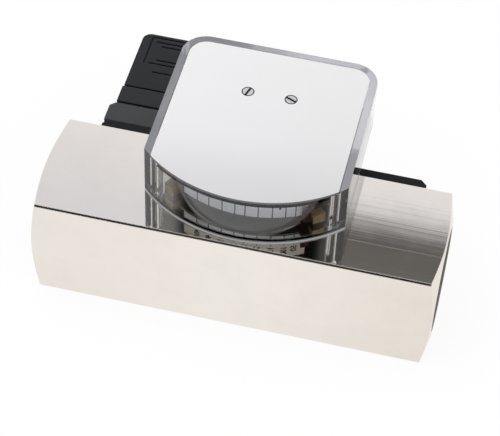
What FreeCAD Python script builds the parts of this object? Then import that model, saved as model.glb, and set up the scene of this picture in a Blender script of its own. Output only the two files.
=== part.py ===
import FreeCAD, Part
import math
import os
import re

import Sketcher
from FreeCAD import Placement, Rotation, Vector

# Variable area flow meter, in millimetres.
# A square bar carries the pipe along X. Flow towards -X pushes a piston against a spring, and
# the magnet on the piston swings a pointer over a fixed scale under the clear cover on top (+Z).
# A switch housing with a square plug is fixed to the back face (+Y).
# The origin is the middle of the bar's flat bottom face.

SIZES = [
    # square bar and its passage
    ("body_length", 132.0, "bar, end face to end face"),
    ("body_side", 40.0, "square bar across the flats"),
    ("edge_break", 0.6, "chamfer along the four long edges"),
    ("end_land_radius", 19.0, "flat ring round each port"),
    ("end_cone_slope", 0.234, "fall of the turned end per mm of radius"),
    ("port_radius", 16.62, "one inch pipe thread, major radius"),
    ("port_depth", 19.0, "threaded length with its chamfer"),
    ("port_chamfer", 0.9, "mouth chamfer of each port"),
    ("relief_radius", 17.2, "groove behind the thread"),
    ("relief_width", 3.4, "width of that groove"),
    ("chamber_radius", 13.5, "bore between the two ports"),
    # fits shared by many pieces
    ("seat_gap", 0.05, "radial gap of a piece seated in a bore"),
    ("run_gap", 0.06, "radial gap of a shaft that runs in a hole"),
    ("screw_gap", 0.05, "radial gap round a screw's thread"),
    ("tap_room", 1.0, "blind holes beyond the piece in them"),
    ("hole_gap", 0.2, "radial gap of a clearance hole"),
    # metering set in the pipe
    ("flange_thickness", 2.0, "flanges of the sleeve and the outlet guide"),
    ("flange_gap", 0.4, "radial gap between flange and port wall"),
    ("ring_thickness", 1.3, "retaining rings"),
    ("ring_width", 2.6, "radial width of the retaining rings"),
    ("ring_split", 6.0, "opening of the retaining rings"),
    ("sleeve_length", 36.5, "tapered sleeve, shoulder to outlet"),
    ("throat_radius", 8.6, "sleeve bore at its narrow end"),
    ("exit_radius", 11.0, "sleeve bore at its wide end"),
    ("seal_place", 6.0, "sealing ring's middle, from the shoulder"),
    ("seal_section", 1.6, "sealing ring's cord diameter"),
    ("guide_radius", 12.0, "seat of the inlet guide in the sleeve"),
    ("guide_thickness", 4.0, "inlet guide along the pipe"),
    ("guide_rim", 2.0, "radial width of a guide's rim"),
    ("guide_arm", 2.2, "width of a guide's arm"),
    ("guide_hub_radius", 3.8, "hubs that hold the rod"),
    ("outlet_hub_reach", 8.0, "outlet hub, inwards from the shoulder"),
    ("outlet_barrel", 4.0, "outlet guide's barrel, inwards from the shoulder"),
    ("rod_radius", 2.0, "guide rod"),
    ("rod_end", 0.8, "rod beyond its nut"),
    ("nut_flats", 7.0, "rod nut across the flats"),
    ("nut_thickness", 3.2, "rod nut"),
    ("nut_room", 0.5, "rod nut's corners to the outlet guide's arms"),
    ("head_radius", 8.2, "piston head"),
    ("head_thickness", 3.0, "piston head"),
    ("head_place", 3.6, "head's upstream face, from the throat"),
    ("rest_gap", 0.3, "piston head to the inlet hub at rest"),
    ("tube_radius", 4.2, "piston tube"),
    ("tube_tail", 0.4, "piston tube beyond its clip"),
    ("collar_radius", 6.5, "collar that the magnet sits on"),
    ("collar_thickness", 1.8, "that collar"),
    ("magnet_radius", 9.0, "ring magnet"),
    ("magnet_length", 9.0, "ring magnet"),
    ("clip_radius", 6.9, "clip that holds the magnet"),
    ("clip_thickness", 1.2, "that clip"),
    ("coil_radius", 5.7, "return spring, middle of the wire"),
    ("wire_radius", 0.45, "return spring's wire"),
    ("spring_gap", 0.05, "wire to its seats"),
    # display
    ("display_offset", 0.8, "display's middle line, along the bar"),
    ("pivot_y", 28.65, "pointer's pivot behind the pipe's axis"),
    ("cover_width", 65.3, "clear cover"),
    ("cover_back", 50.4, "cover's back face"),
    ("cover_corner", 8.5, "cover's two back corners"),
    ("cover_front_radius", 46.2, "cover's front arc about the pivot"),
    ("cover_height", 19.0, "cover's top above the bar"),
    ("cover_wall", 2.6, "cover's walls"),
    ("roof_thickness", 2.9, "cover's roof under the plate"),
    ("rim_width", 2.45, "cover's rim round the plate"),
    ("seal_thickness", 0.4, "flat seal under the cover's foot"),
    ("plate_thickness", 0.9, "top plate"),
    ("plate_gap", 0.2, "top plate to the rim"),
    ("screw_spacing", 14.2, "two slotted screws and the posts under them"),
    ("screw_radius", 1.0, "slotted screws' thread"),
    ("screw_head_radius", 1.75, "slotted screws' heads"),
    ("screw_head_height", 0.9, "slotted screws' heads"),
    ("screw_grip", 4.5, "slotted screws' thread in the posts"),
    ("screw_slot", 0.75, "slots' width"),
    ("slot_depth", 0.5, "slots' depth"),
    ("left_slot_turn", 74.0, "left screw's slot, from X"),
    ("right_slot_turn", 157.0, "right screw's slot, from X"),
    ("plate_hole_gap", 0.35, "dark ring round each slotted head"),
    ("base_thickness", 2.0, "pivot plate"),
    ("base_front", 9.0, "pivot plate's front edge"),
    ("base_gap", 0.4, "pivot plate to the cover's walls"),
    ("apron_radius", 23.4, "pivot plate's thin round front"),
    ("apron_gap", 2.25, "that front to the cover's front wall"),
    ("apron_thickness", 0.5, "that front"),
    ("base_screw_spacing", 44.0, "two countersunk screws in the pivot plate"),
    ("base_screw_y", 14.5, "their place"),
    ("base_screw_radius", 1.45, "their thread"),
    ("base_screw_head", 2.8, "their heads"),
    ("base_screw_grip", 5.0, "their thread in the bar"),
    ("post_radius", 2.5, "bearing posts"),
    ("spigot_radius", 1.5, "bearing posts' spigots in the pivot plate"),
    ("bridge_thickness", 2.0, "bearing bridge"),
    ("bridge_edge", 3.6, "bridge beyond the middle of its holes"),
    ("bush_radius", 2.0, "pivot bushes"),
    ("bush_flange_radius", 2.8, "pivot bushes' flanges"),
    ("bush_flange", 0.6, "pivot bushes' flanges"),
    ("bush_floor", 0.6, "closed end of the lower bush"),
    ("spindle_radius", 1.0, "pointer spindle"),
    ("spindle_play", 0.3, "end play of the spindle"),
    ("front_post_angle", 36.0, "front posts that stop the pointer, from the middle line"),
    ("front_post_inset", 7.2, "front posts' circle inside the cover's front arc"),
    ("front_post_width", 4.0, "front posts along that circle"),
    ("front_post_depth", 2.8, "front posts across that circle"),
    ("front_post_height", 5.2, "front posts above the bar"),
    ("column_radius", 4.0, "cover's solid front corners"),
    ("front_spigot_radius", 1.1, "front posts' spigots in the bar"),
    ("front_spigot_depth", 4.0, "front posts' spigots in the bar"),
    ("cover_screw_radius", 1.0, "hidden screws through the cover's front corners"),
    ("cover_screw_head", 1.6, "their heads"),
    ("cover_screw_sink", 1.2, "their heads' depth in the roof"),
    ("cover_screw_grip", 4.0, "their thread in the bar"),
    ("cover_screw_inset", 2.2, "their place in from the cover's side wall"),
    ("cover_screw_set_back", 0.9, "their place behind the corner"),
    # fixed scale
    ("strip_gap", 8.0, "scale strip inside the cover's front arc"),
    ("strip_thickness", 0.8, "scale strip"),
    ("strip_bottom", 4.45, "strip's lower edge above the bar"),
    ("strip_height", 10.3, "scale strip"),
    ("strip_start", 29.5, "strip's left end, from the middle line"),
    ("strip_span", 61.0, "angle that the strip covers"),
    ("shelf_thickness", 1.0, "sheet that carries the strip"),
    ("shelf_lift", 0.5, "that sheet above the strip's lower edge"),
    ("shelf_inner", 19.0, "that sheet's inner radius about the pivot"),
    ("shelf_reach", 44.0, "that sheet's ends, from the middle line"),
    ("scale_post_radius", 1.6, "posts under that sheet"),
    ("scale_post_circle", 22.0, "their circle about the pivot"),
    ("scale_post_angle", 40.5, "the posts, from the middle line"),
    ("scale_spigot_radius", 1.0, "their spigots in the sheet and the pivot plate"),
    # pointer
    ("pointer_rest", 30.3, "pointer at rest, from the middle line to the right"),
    ("arm_thickness", 0.8, "pointer's sheet"),
    ("arm_lift", 2.9, "pointer's underside above the bar"),
    ("arm_width", 3.0, "pointer's arm"),
    ("tip_gap", 1.0, "pointer's bent tip in front of the strip"),
    ("tip_width", 2.6, "that tip"),
    ("tip_height", 6.4, "that tip"),
    ("hub_radius", 3.4, "pointer's hub"),
    ("hub_height", 5.0, "pointer's hub"),
    ("follower_radius", 3.0, "follower magnet"),
    ("follower_height", 2.0, "follower magnet"),
    ("weight_radius", 5.0, "counterweight"),
    ("weight_height", 5.5, "counterweight"),
    ("weight_reach", 12.5, "counterweight behind the pivot"),
    ("tail_width", 6.0, "pointer's tail"),
    # switch housing on the back face
    ("gasket_thickness", 0.5, "housing gasket"),
    ("housing_length", 110.0, "switch housing along the bar"),
    ("housing_height", 28.0, "switch housing"),
    ("housing_depth", 7.7, "switch housing"),
    ("housing_wall", 2.0, "its back wall"),
    ("housing_end_wall", 4.0, "its end walls"),
    ("housing_rail", 5.0, "its upper and lower rails"),
    ("housing_chamfer", 2.0, "its back corners"),
    ("housing_screw_left", -20.0, "left pair of housing screws"),
    ("housing_screw_right", 51.0, "right pair of housing screws"),
    ("housing_screw_inset", 2.6, "housing screws from the upper and lower faces"),
    ("housing_screw_radius", 1.15, "housing screws' thread"),
    ("housing_screw_head", 2.2, "housing screws' heads"),
    ("housing_screw_head_height", 1.7, "housing screws' heads"),
    ("housing_screw_sink", 0.3, "housing screws' heads below the housing's back"),
    ("housing_screw_grip", 6.0, "housing screws' thread in the bar"),
    ("carrier_start", -8.0, "switch carrier's left end"),
    ("carrier_length", 36.0, "switch carrier"),
    ("carrier_gap", 0.15, "carrier to its rails"),
    ("carrier_back_gap", 0.3, "carrier to the housing's back wall"),
    ("carrier_front_gap", 0.8, "carrier to the bar"),
    ("carrier_back_travel", 4.0, "setting travel towards the inlet"),
    ("carrier_front_travel", 8.0, "setting travel towards the outlet"),
    ("clamp_place", 22.0, "clamp screw's place along the bar"),
    ("clamp_radius", 1.45, "clamp screw's thread"),
    ("clamp_head_radius", 4.0, "clamp screw's head"),
    ("clamp_head_height", 3.0, "clamp screw's head"),
    ("clamp_lift", 0.2, "clamp screw's head to the housing"),
    ("slot_gap", 0.3, "setting slot round the clamp screw"),
    ("reed_radius", 1.3, "reed switch's glass"),
    ("reed_length", 14.0, "reed switch's glass"),
    ("reed_tail", 4.0, "reed switch's wire ends"),
    ("reed_wire", 0.3, "reed switch's wire radius"),
    ("reed_place", 1.5, "reed switch's middle along the bar"),
    ("lead_radius", 0.65, "insulated leads"),
    ("lead_bend", 3.2, "bend of the leads"),
    ("lead_clear", 0.5, "leads' ends to the carrier's nearest place"),
    # square plug connector
    ("plug_x", -39.5, "connector's middle along the bar"),
    ("socket_width", 31.0, "connector base along the bar"),
    ("socket_depth", 8.3, "connector base behind the housing"),
    ("socket_chamfer", 1.7, "connector base's outer edges"),
    ("socket_hollow", 17.0, "wiring hollow in the connector base"),
    ("socket_floor", 3.0, "wall behind that hollow"),
    ("boss_side", 21.0, "boss that the plug fits over"),
    ("boss_height", 5.5, "boss above the base's face"),
    ("boss_gap", 0.3, "boss to the plug and its gasket"),
    ("lead_hole", 8.0, "hole for the leads, radius"),
    ("blade_offset", 7.5, "contact blades from the plug's axis"),
    ("blade_width", 6.3, "contact blades"),
    ("blade_thickness", 0.8, "contact blades"),
    ("blade_reach", 14.0, "contact blades beyond the boss"),
    ("blade_tag", 2.5, "contact blades' tags in the wiring hollow"),
    ("socket_screw_offset", 12.0, "connector base's screws from its axis"),
    ("socket_screw_radius", 1.15, "their thread"),
    ("socket_screw_head", 2.1, "their heads"),
    ("pad_thickness", 1.2, "flat gasket under the plug"),
    ("skirt_side", 27.6, "plug's skirt"),
    ("skirt_length", 7.3, "plug's skirt"),
    ("neck_side", 26.0, "groove between skirt and upper housing"),
    ("neck_length", 1.0, "that groove"),
    ("plug_side", 27.0, "plug's upper housing"),
    ("plug_length", 26.5, "plug's upper housing"),
    ("plug_round", 3.0, "rounding of its two far corners"),
    ("insert_side", 20.0, "contact insert in the plug"),
    ("insert_length", 17.0, "contact insert in the plug"),
    ("insert_gap", 0.15, "insert to the plug's walls"),
    ("blade_slot_gap", 0.2, "contact blades in the insert"),
    ("plug_screw_radius", 1.5, "plug's fixing screw"),
    ("plug_screw_head", 3.6, "its head"),
    ("plug_screw_head_height", 2.6, "its head, let into the plug"),
    ("panel_margin", 3.2, "moulded frame on the plug, from the sides"),
    ("panel_length", 13.4, "moulded frame along the plug"),
    ("panel_end", 1.1, "moulded frame from the plug's far end"),
    ("rib_margin", 2.1, "first rib inside the moulded frame's far line"),
    ("rib_pitch", 1.9, "between the two ribs of a pair"),
    ("rib_length", 16.9, "outer ribs"),
    ("short_rib_length", 12.2, "inner ribs and the lower line"),
    ("lower_line", 8.0, "lower line, from the upper housing's start"),
    ("groove_width", 0.6, "moulded grooves"),
    ("groove_depth", 0.5, "moulded grooves"),
    ("gland_place", 12.5, "cable gland, from the upper housing's lower end"),
    ("gland_radius", 8.6, "gland neck"),
    ("gland_neck", 7.0, "gland neck beyond the plug"),
    ("gland_bore", 6.2, "bore of the gland neck"),
    ("gland_nut_flats", 20.0, "gland nut across the flats"),
    ("gland_nut_length", 9.0, "gland nut"),
    ("gland_nut_end", 2.5, "gland nut's end wall"),
    ("gland_nut_place", 1.6, "gland nut, from the plug's side"),
    ("gland_mouth", 4.25, "cable hole in the gland nut"),
    ("gland_seal_bore", 3.6, "cable hole in the gland's rubber"),
    ("gland_seal_length", 4.6, "gland's rubber"),
    ("gland_washer", 0.8, "gland's washer"),
]

# Places that follow from the sizes, written in the sheet's own words.
AXIS = "body_side/2"
HALF = "body_length/2"
SHOULDER = "(body_length/2 - port_depth - relief_width)"
INLET_FACE = "(-(body_length/2 - port_depth - relief_width) - flange_thickness)"
THROAT = f"({INLET_FACE} + guide_thickness)"
BARREL = "(chamber_radius - seat_gap)"
FLANGE = "(port_radius - flange_gap)"
HEAD = f"({THROAT} + head_place)"
MAGNET = "(-display_offset - pivot_y*sin(pointer_rest) - magnet_length/2)"
CLIP = f"({MAGNET} + magnet_length)"
SPRING_START = f"({CLIP} + clip_thickness)"
SPRING_END = f"({SHOULDER} - outlet_hub_reach)"
OUTLET_FACE = f"({SHOULDER} + flange_thickness)"
NUT_FACE = f"({OUTLET_FACE} - rod_end - nut_thickness)"

TOP = "body_side"
FOOT = "(body_side + seal_thickness)"
COVER_TOP = "(body_side + cover_height)"
ROOF_TOP = "(body_side + cover_height - plate_thickness)"
ROOF_UNDER = "(body_side + cover_height - plate_thickness - roof_thickness)"
SINK = "(body_side + cover_height - plate_thickness - cover_screw_sink)"
BASE_TOP = "(body_side + base_thickness)"
BRIDGE_UNDER = f"({ROOF_UNDER} - bridge_thickness)"
POST_RING = "(cover_front_radius - front_post_inset)"
WALL_X = "(cover_width/2 - cover_wall)"
CORNER_Y = f"(pivot_y - sqrt((cover_front_radius - cover_wall)^2 - {WALL_X}^2))"
APRON_Y = "(pivot_y - cover_front_radius + cover_wall + apron_gap + apron_radius)"
STRIP_FOOT = "(body_side + strip_bottom)"
SHELF = "(body_side + strip_bottom + shelf_lift)"
ARM = "(body_side + arm_lift)"
ARM_TOP = "(body_side + arm_lift + arm_thickness)"
STRIP_OUTER = "(cover_front_radius - strip_gap)"
STRIP_INNER = "(cover_front_radius - strip_gap - strip_thickness)"

BACK = "body_side/2"
HOUSING = "(body_side/2 + gasket_thickness)"
HOUSING_BACK = "(body_side/2 + gasket_thickness + housing_depth)"
HOUSING_LOW = "(body_side/2 - housing_height/2)"
CHANNEL_LOW = "(body_side/2 - housing_height/2 + housing_rail)"
CHANNEL_HEIGHT = "(housing_height - 2*housing_rail)"
CHANNEL_BACK = "(body_side/2 + gasket_thickness + housing_depth - housing_wall)"
SOCKET_FACE = f"({HOUSING_BACK} + socket_depth)"
BOSS_END = f"({SOCKET_FACE} + boss_height)"
SKIRT = f"({SOCKET_FACE} + pad_thickness)"
NECK = f"({SKIRT} + skirt_length)"
PLUG = f"({NECK} + neck_length)"
PLUG_END = f"({PLUG} + plug_length)"
INSERT = f"({BOSS_END} + boss_gap)"
PLUG_FLANK = "(plug_x + plug_side/2)"
GLAND_Y = f"({PLUG} + gland_place)"

SPRING_HALF_TURNS = 16

doc = FreeCAD.newDocument("flow_meter")
sheet = doc.addObject("Spreadsheet::Sheet", "sizes")
for row, (alias, value, meaning) in enumerate(SIZES, start=1):
    sheet.set(f"A{row}", alias)
    sheet.set(f"B{row}", str(value))
    sheet.set(f"C{row}", meaning)
    sheet.setAlias(f"B{row}", alias)
doc.recompute()

ALIASES = {alias for alias, value, meaning in SIZES}
WORD = re.compile(r"[a-z][a-z_]*")
pieces = []


def formula(text):
    """The text with every size's name pointing at its cell."""
    return WORD.sub(lambda found: "sizes." + found[0] if found[0] in ALIASES else found[0], str(text))


def bind(item, **formulas):
    """Tie properties of an object to the sheet; a double underscore stands for a dot."""
    for name, text in formulas.items():
        item.setExpression(name.replace("__", "."), formula(text))
    return item


def place(item, x="0", y="0", z="0"):
    """Tie an object's place to the sheet."""
    return bind(item, Placement__Base__x=x, Placement__Base__y=y, Placement__Base__z=z)


def turn_about_z(item, x, y, z, angle):
    """Tie an object's place, and its turn about Z in degrees, to the sheet."""
    base = f"vector({x}; {y}; {z})"
    return bind(item, Placement=f"placement({base}; rotation(vector(0; 0; 1); {angle}))")


def keep(item, label):
    """List an object as a finished sub-part under its own name."""
    item.Label = label
    pieces.append(item)
    return item


def keep_in_pipe(item, label):
    """List a piece of the metering set, turned half round about Z, as its inlet is at +X."""
    holder = group(label + "_in_pipe", item)
    holder.Placement = Placement(Vector(), Rotation(Vector(0, 0, 1), 180))
    return keep(holder, label)


def block(name, x, y, z):
    """A box from pairs of start and length along X, Y and Z."""
    item = doc.addObject("Part::Box", name)
    bind(item, Length=x[1], Width=y[1], Height=z[1])
    return place(item, x[0], y[0], z[0])


def middle_block(name, x, y, z):
    """A box from pairs of middle and length along X, Y and Z."""
    spans = [(f"{middle} - ({length})/2", length) for middle, length in (x, y, z)]
    return block(name, *spans)


TURNS = {
    "X": Rotation(Vector(0, 1, 0), 90),
    "Y": Rotation(Vector(1, 0, 0), -90),
    "Z": Rotation(),
}


def rod(name, along, start, length, radius):
    """A round bar along X, Y or Z from its start point."""
    item = doc.addObject("Part::Cylinder", name)
    item.Placement = Placement(Vector(), TURNS[along])
    bind(item, Radius=radius, Height=length)
    return place(item, *start)


def cone(name, along, start, length, first, last):
    """A round taper along X, Y or Z from its start point."""
    item = doc.addObject("Part::Cone", name)
    item.Placement = Placement(Vector(), TURNS[along])
    bind(item, Radius1=first, Radius2=last, Height=length)
    return place(item, *start)


def hexagon(name, along, start, length, flats):
    """A six-sided bar along X, Y or Z from its start point."""
    item = doc.addObject("Part::Prism", name)
    item.Polygon = 6
    item.Placement = Placement(Vector(), TURNS[along])
    bind(item, Circumradius=f"({flats})/2/cos(30)", Height=length)
    return place(item, *start)


def fuse(name, *items):
    """One solid from several that touch or overlap."""
    item = doc.addObject("Part::MultiFuse", name)
    item.Shapes = list(items)
    item.Refine = True
    return item


def group(name, *items):
    """Separate solids that share a node."""
    item = doc.addObject("Part::Compound", name)
    item.Links = list(items)
    return item


def common(name, *items):
    """What several solids share."""
    item = doc.addObject("Part::MultiCommon", name)
    item.Shapes = list(items)
    item.Refine = True
    return item


def cut(name, base, *tools):
    """A solid with others taken out of it, one after the other."""
    for number, tool in enumerate(tools, start=1):
        item = doc.addObject("Part::Cut", f"{name}_{number}")
        item.Base = base
        item.Tool = tool
        item.Refine = True
        base = item
    return base


SPINS = {
    "X": Rotation(),
    "Y": Rotation(Vector(0, 0, 1), 90),
    "Z": Rotation(Vector(0, 1, 0), -90),
}


def outline_sketch(body, plane, corners):
    """A closed outline of straight lines in a body's plane, its corners tied to the sheet."""
    sketch = body.newObject("Sketcher::SketchObject", body.Name + "_outline")
    support = [item for item in body.Origin.OriginFeatures if item.Role == plane][0]
    sketch.AttachmentSupport = [(support, "")]
    sketch.MapMode = "FlatFace"
    count = len(corners)
    turns = [2*math.pi*number/count for number in range(count + 1)]
    ring = [Vector(math.cos(angle), math.sin(angle), 0) for angle in turns]
    for number in range(count):
        sketch.addGeometry(Part.LineSegment(ring[number], ring[number + 1]), False)
    for number in range(count):
        sketch.addConstraint(Sketcher.Constraint("Coincident", number, 2, (number + 1) % count, 1))
    origin, first_point, own_start = -1, 1, 1
    axes = {"DistanceX": -2, "DistanceY": -1}
    for number, corner in enumerate(corners):
        for kind, text in zip(axes, corner):
            if text == "0":
                rule = Sketcher.Constraint("PointOnObject", number, own_start, axes[kind])
                sketch.addConstraint(rule)
                continue
            rule = Sketcher.Constraint(kind, origin, first_point, number, own_start, 1.0)
            index = sketch.addConstraint(rule)
            sketch.setExpression(f"Constraints[{index}]", formula(text))
    return sketch


def turned(name, along, start, corners):
    """A turned solid: corners are pairs of place along its axis and radius."""
    body = doc.addObject("PartDesign::Body", name)
    sketch = outline_sketch(body, "XY_Plane", corners)
    revolution = body.newObject("PartDesign::Revolution", name + "_turning")
    revolution.Profile = sketch
    revolution.ReferenceAxis = (sketch, ["H_Axis"])
    revolution.Angle = 360
    body.Tip = revolution
    body.Placement = Placement(Vector(), SPINS[along])
    return place(body, *start)


def padded(name, start, height, corners):
    """A straight-sided solid standing on an outline in X and Y."""
    body = doc.addObject("PartDesign::Body", name)
    sketch = outline_sketch(body, "XY_Plane", corners)
    pad = body.newObject("PartDesign::Pad", name + "_pad")
    pad.Profile = sketch
    bind(pad, Length=height)
    body.Tip = pad
    return place(body, *start)


def slice_about_pivot(name, radius, z, height, start, span):
    """A pie slice about the pointer's pivot; angles are from the front middle line towards +X."""
    item = doc.addObject("Part::Cylinder", name)
    bind(item, Radius=radius, Height=height, Angle=span)
    return turn_about_z(item, "display_offset", "pivot_y", z, f"({start} - 90)")


def block_about_pivot(name, reach, width, z, height, angle):
    """A box across a ray from the pivot: reach is a pair of near end and length along the ray."""
    item = doc.addObject("Part::Box", name)
    bind(item, Length=width, Width=reach[1], Height=height)
    far = f"({reach[0]} + {reach[1]})"
    x = f"display_offset - ({width})/2*cos({angle}) + {far}*sin({angle})"
    y = f"pivot_y - ({width})/2*sin({angle}) - {far}*cos({angle})"
    return turn_about_z(item, x, y, z, angle)


def point_about_pivot(reach, angle):
    """Formulas of the point on a ray from the pivot."""
    return f"display_offset + ({reach})*sin({angle})", f"pivot_y - ({reach})*cos({angle})"


def pair_x(spacing):
    """Formulas of two places either side of the display's middle line."""
    return f"display_offset - {spacing}/2", f"display_offset + {spacing}/2"


PIPE = ("0", "0", AXIS)


def meter_body():
    """Square bar, turned at both ends, with its passage, ports and tapped holes."""
    bar = middle_block("bar", ("0", "body_length"), ("0", "body_side"), (AXIS, "body_side"))
    diamond = doc.addObject("Part::Box", "bar_edges")
    diamond.Placement = Placement(Vector(), Rotation(Vector(1, 0, 0), 45))
    across = "sqrt(2)*(body_side - edge_break)"
    bind(diamond, Length="body_length", Width=across, Height=across)
    place(diamond, f"-{HALF}", "0", "edge_break - body_side/2")
    outside = "0.75*body_side"
    fall = f"({outside} - end_land_radius)*end_cone_slope"
    lathe = turned("bar_ends", "X", PIPE, [
        (f"-{HALF}", "0"), (f"-{HALF}", "end_land_radius"), (f"-{HALF} + {fall}", outside),
        (f"{HALF} - {fall}", outside), (HALF, "end_land_radius"), (HALF, "0")])
    half = [(HALF, "0"), (HALF, "port_radius + port_chamfer"), (f"{HALF} - port_chamfer", "port_radius"),
            (f"{HALF} - port_depth", "port_radius"), (f"{HALF} - port_depth", "relief_radius"),
            (SHOULDER, "relief_radius"), (SHOULDER, "chamber_radius")]
    other = [(f"-({x})", radius) for x, radius in reversed(half)]
    passage = turned("passage", "X", PIPE, half + other)
    holes = []
    for number, x in enumerate(pair_x("base_screw_spacing")):
        depth = "base_screw_grip + tap_room"
        holes.append(rod(f"base_hole_{number}", "Z", (x, "base_screw_y", f"{TOP} - ({depth})"),
                         depth, "base_screw_radius + screw_gap"))
    for number, side in enumerate(("-front_post_angle", "front_post_angle")):
        x, y = point_about_pivot(POST_RING, side)
        depth = "front_spigot_depth + tap_room/2"
        holes.append(rod(f"spigot_hole_{number}", "Z", (x, y, f"{TOP} - ({depth})"),
                         depth, "front_spigot_radius + screw_gap"))
    for number, (x, y) in enumerate(cover_screw_points()):
        depth = "cover_screw_grip + tap_room"
        holes.append(rod(f"cover_hole_{number}", "Z", (x, y, f"{TOP} - ({depth})"),
                         depth, "cover_screw_radius + screw_gap"))
    for number, (x, z) in enumerate(housing_screw_places()):
        depth = "housing_screw_grip + tap_room"
        holes.append(rod(f"housing_hole_{number}", "Y", (x, f"{BACK} - ({depth})", z),
                         depth, "housing_screw_radius + screw_gap"))
    blank = common("bar_blank", bar, diamond, lathe)
    keep(cut("bored_bar", blank, passage, group("bar_holes", *holes)), "meter_body")


def metering_sleeve():
    """Flanged sleeve with a tapered bore, and the sealing ring in its groove."""
    groove = "(chamber_radius - seal_section - seat_gap)"
    half_groove = "(seal_section/2 + seat_gap)"
    middle = f"(-{SHOULDER} + seal_place)"
    end = f"(-{SHOULDER} + sleeve_length)"
    keep_in_pipe(turned("sleeve", "X", PIPE, [
        (INLET_FACE, "guide_radius"), (INLET_FACE, FLANGE), (f"-{SHOULDER}", FLANGE),
        (f"-{SHOULDER}", BARREL), (f"{middle} - {half_groove}", BARREL),
        (f"{middle} - {half_groove}", groove), (f"{middle} + {half_groove}", groove),
        (f"{middle} + {half_groove}", BARREL), (end, BARREL), (end, "exit_radius"),
        (THROAT, "throat_radius"), (THROAT, "guide_radius")]), "metering_sleeve")
    ring = doc.addObject("Part::Torus", "sleeve_ring")
    ring.Placement = Placement(Vector(), TURNS["X"])
    bind(ring, Radius1=f"{groove} + seal_section/2", Radius2="seal_section/2")
    keep_in_pipe(place(ring, middle, "0", AXIS), "sleeve_seal")


def guide(label, face, thickness, rim, hub, extra, rooms):
    """Rim, three arms and a hub that holds the guide rod; extra solids join it, rooms are cut out."""
    name = label + "_"
    outer = rod(name + "rim", "X", (face, "0", AXIS), thickness, rim)
    inner = rod(name + "opening", "X", (face, "0", AXIS), thickness, f"{rim} - guide_rim")
    solids = [cut(name + "ring", outer, inner), *extra]
    solids.append(rod(name + "hub", "X", (hub[0], "0", AXIS), hub[1], "guide_hub_radius"))
    for number in range(3):
        angle = math.radians(120*number)
        arm = doc.addObject("Part::Box", f"{name}arm_{number}")
        arm.Placement = Placement(Vector(), Rotation(Vector(1, 0, 0), 120*number))
        bind(arm, Length=thickness, Width="guide_arm", Height=f"{rim} - guide_rim/2")
        y = f"{-math.cos(angle):.6f}*guide_arm/2"
        z = f"{AXIS} + {-math.sin(angle):.6f}*guide_arm/2"
        solids.append(place(arm, face, y, z))
    bore = rod(name + "bore", "X", (hub[0], "0", AXIS), hub[1], "rod_radius + seat_gap")
    keep_in_pipe(cut(name + "bored", fuse(name + "spider", *solids), bore, *rooms), label)


def guides_and_rod():
    """The two guides, the rod between them, its nut and the two retaining rings."""
    guide("inlet_guide", INLET_FACE, "guide_thickness", "(guide_radius - seat_gap)",
          (INLET_FACE, f"({HEAD} - rest_gap - {INLET_FACE})"), [], [])
    flange = rod("outlet_flange", "X", (SHOULDER, "0", AXIS), "flange_thickness", FLANGE)
    opening = rod("outlet_opening", "X", (SHOULDER, "0", AXIS), "flange_thickness",
                  f"{BARREL} - guide_rim")
    nut_room = rod("nut_room", "X", (NUT_FACE, "0", AXIS), f"({OUTLET_FACE} - {NUT_FACE})",
                   "nut_flats/2/cos(30) + nut_room")
    start = f"({SHOULDER} - outlet_barrel)"
    guide("outlet_guide", start, "(outlet_barrel + flange_thickness)", BARREL,
          (SPRING_END, f"({NUT_FACE} - {SPRING_END})"), [cut("outlet_collar", flange, opening)], [nut_room])
    rod_start = f"({INLET_FACE} + rest_gap)"
    rod_length = f"({OUTLET_FACE} - {rod_start})"
    keep_in_pipe(rod("slide_rod", "X", (rod_start, "0", AXIS), rod_length, "rod_radius"), "guide_rod")
    nut = hexagon("nut_blank", "X", (NUT_FACE, "0", AXIS), "nut_thickness", "nut_flats")
    nut_bore = rod("nut_bore", "X", (NUT_FACE, "0", AXIS), "nut_thickness", "rod_radius + screw_gap")
    keep_in_pipe(cut("nut", nut, nut_bore), "rod_nut")
    faces = {"inlet_retaining_ring": f"({INLET_FACE} - ring_thickness)", "outlet_retaining_ring": OUTLET_FACE}
    for label, face in faces.items():
        outside = "(relief_radius - seat_gap)"
        outer = rod(label + "_outer", "X", (face, "0", AXIS), "ring_thickness", outside)
        inner = rod(label + "_inner", "X", (face, "0", AXIS), "ring_thickness", f"{outside} - ring_width")
        split = block(label + "_split", (face, "ring_thickness"), ("-ring_split/2", "ring_split"),
                      (AXIS, "relief_radius"))
        keep_in_pipe(cut(label + "_open", outer, inner, split), label)


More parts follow.
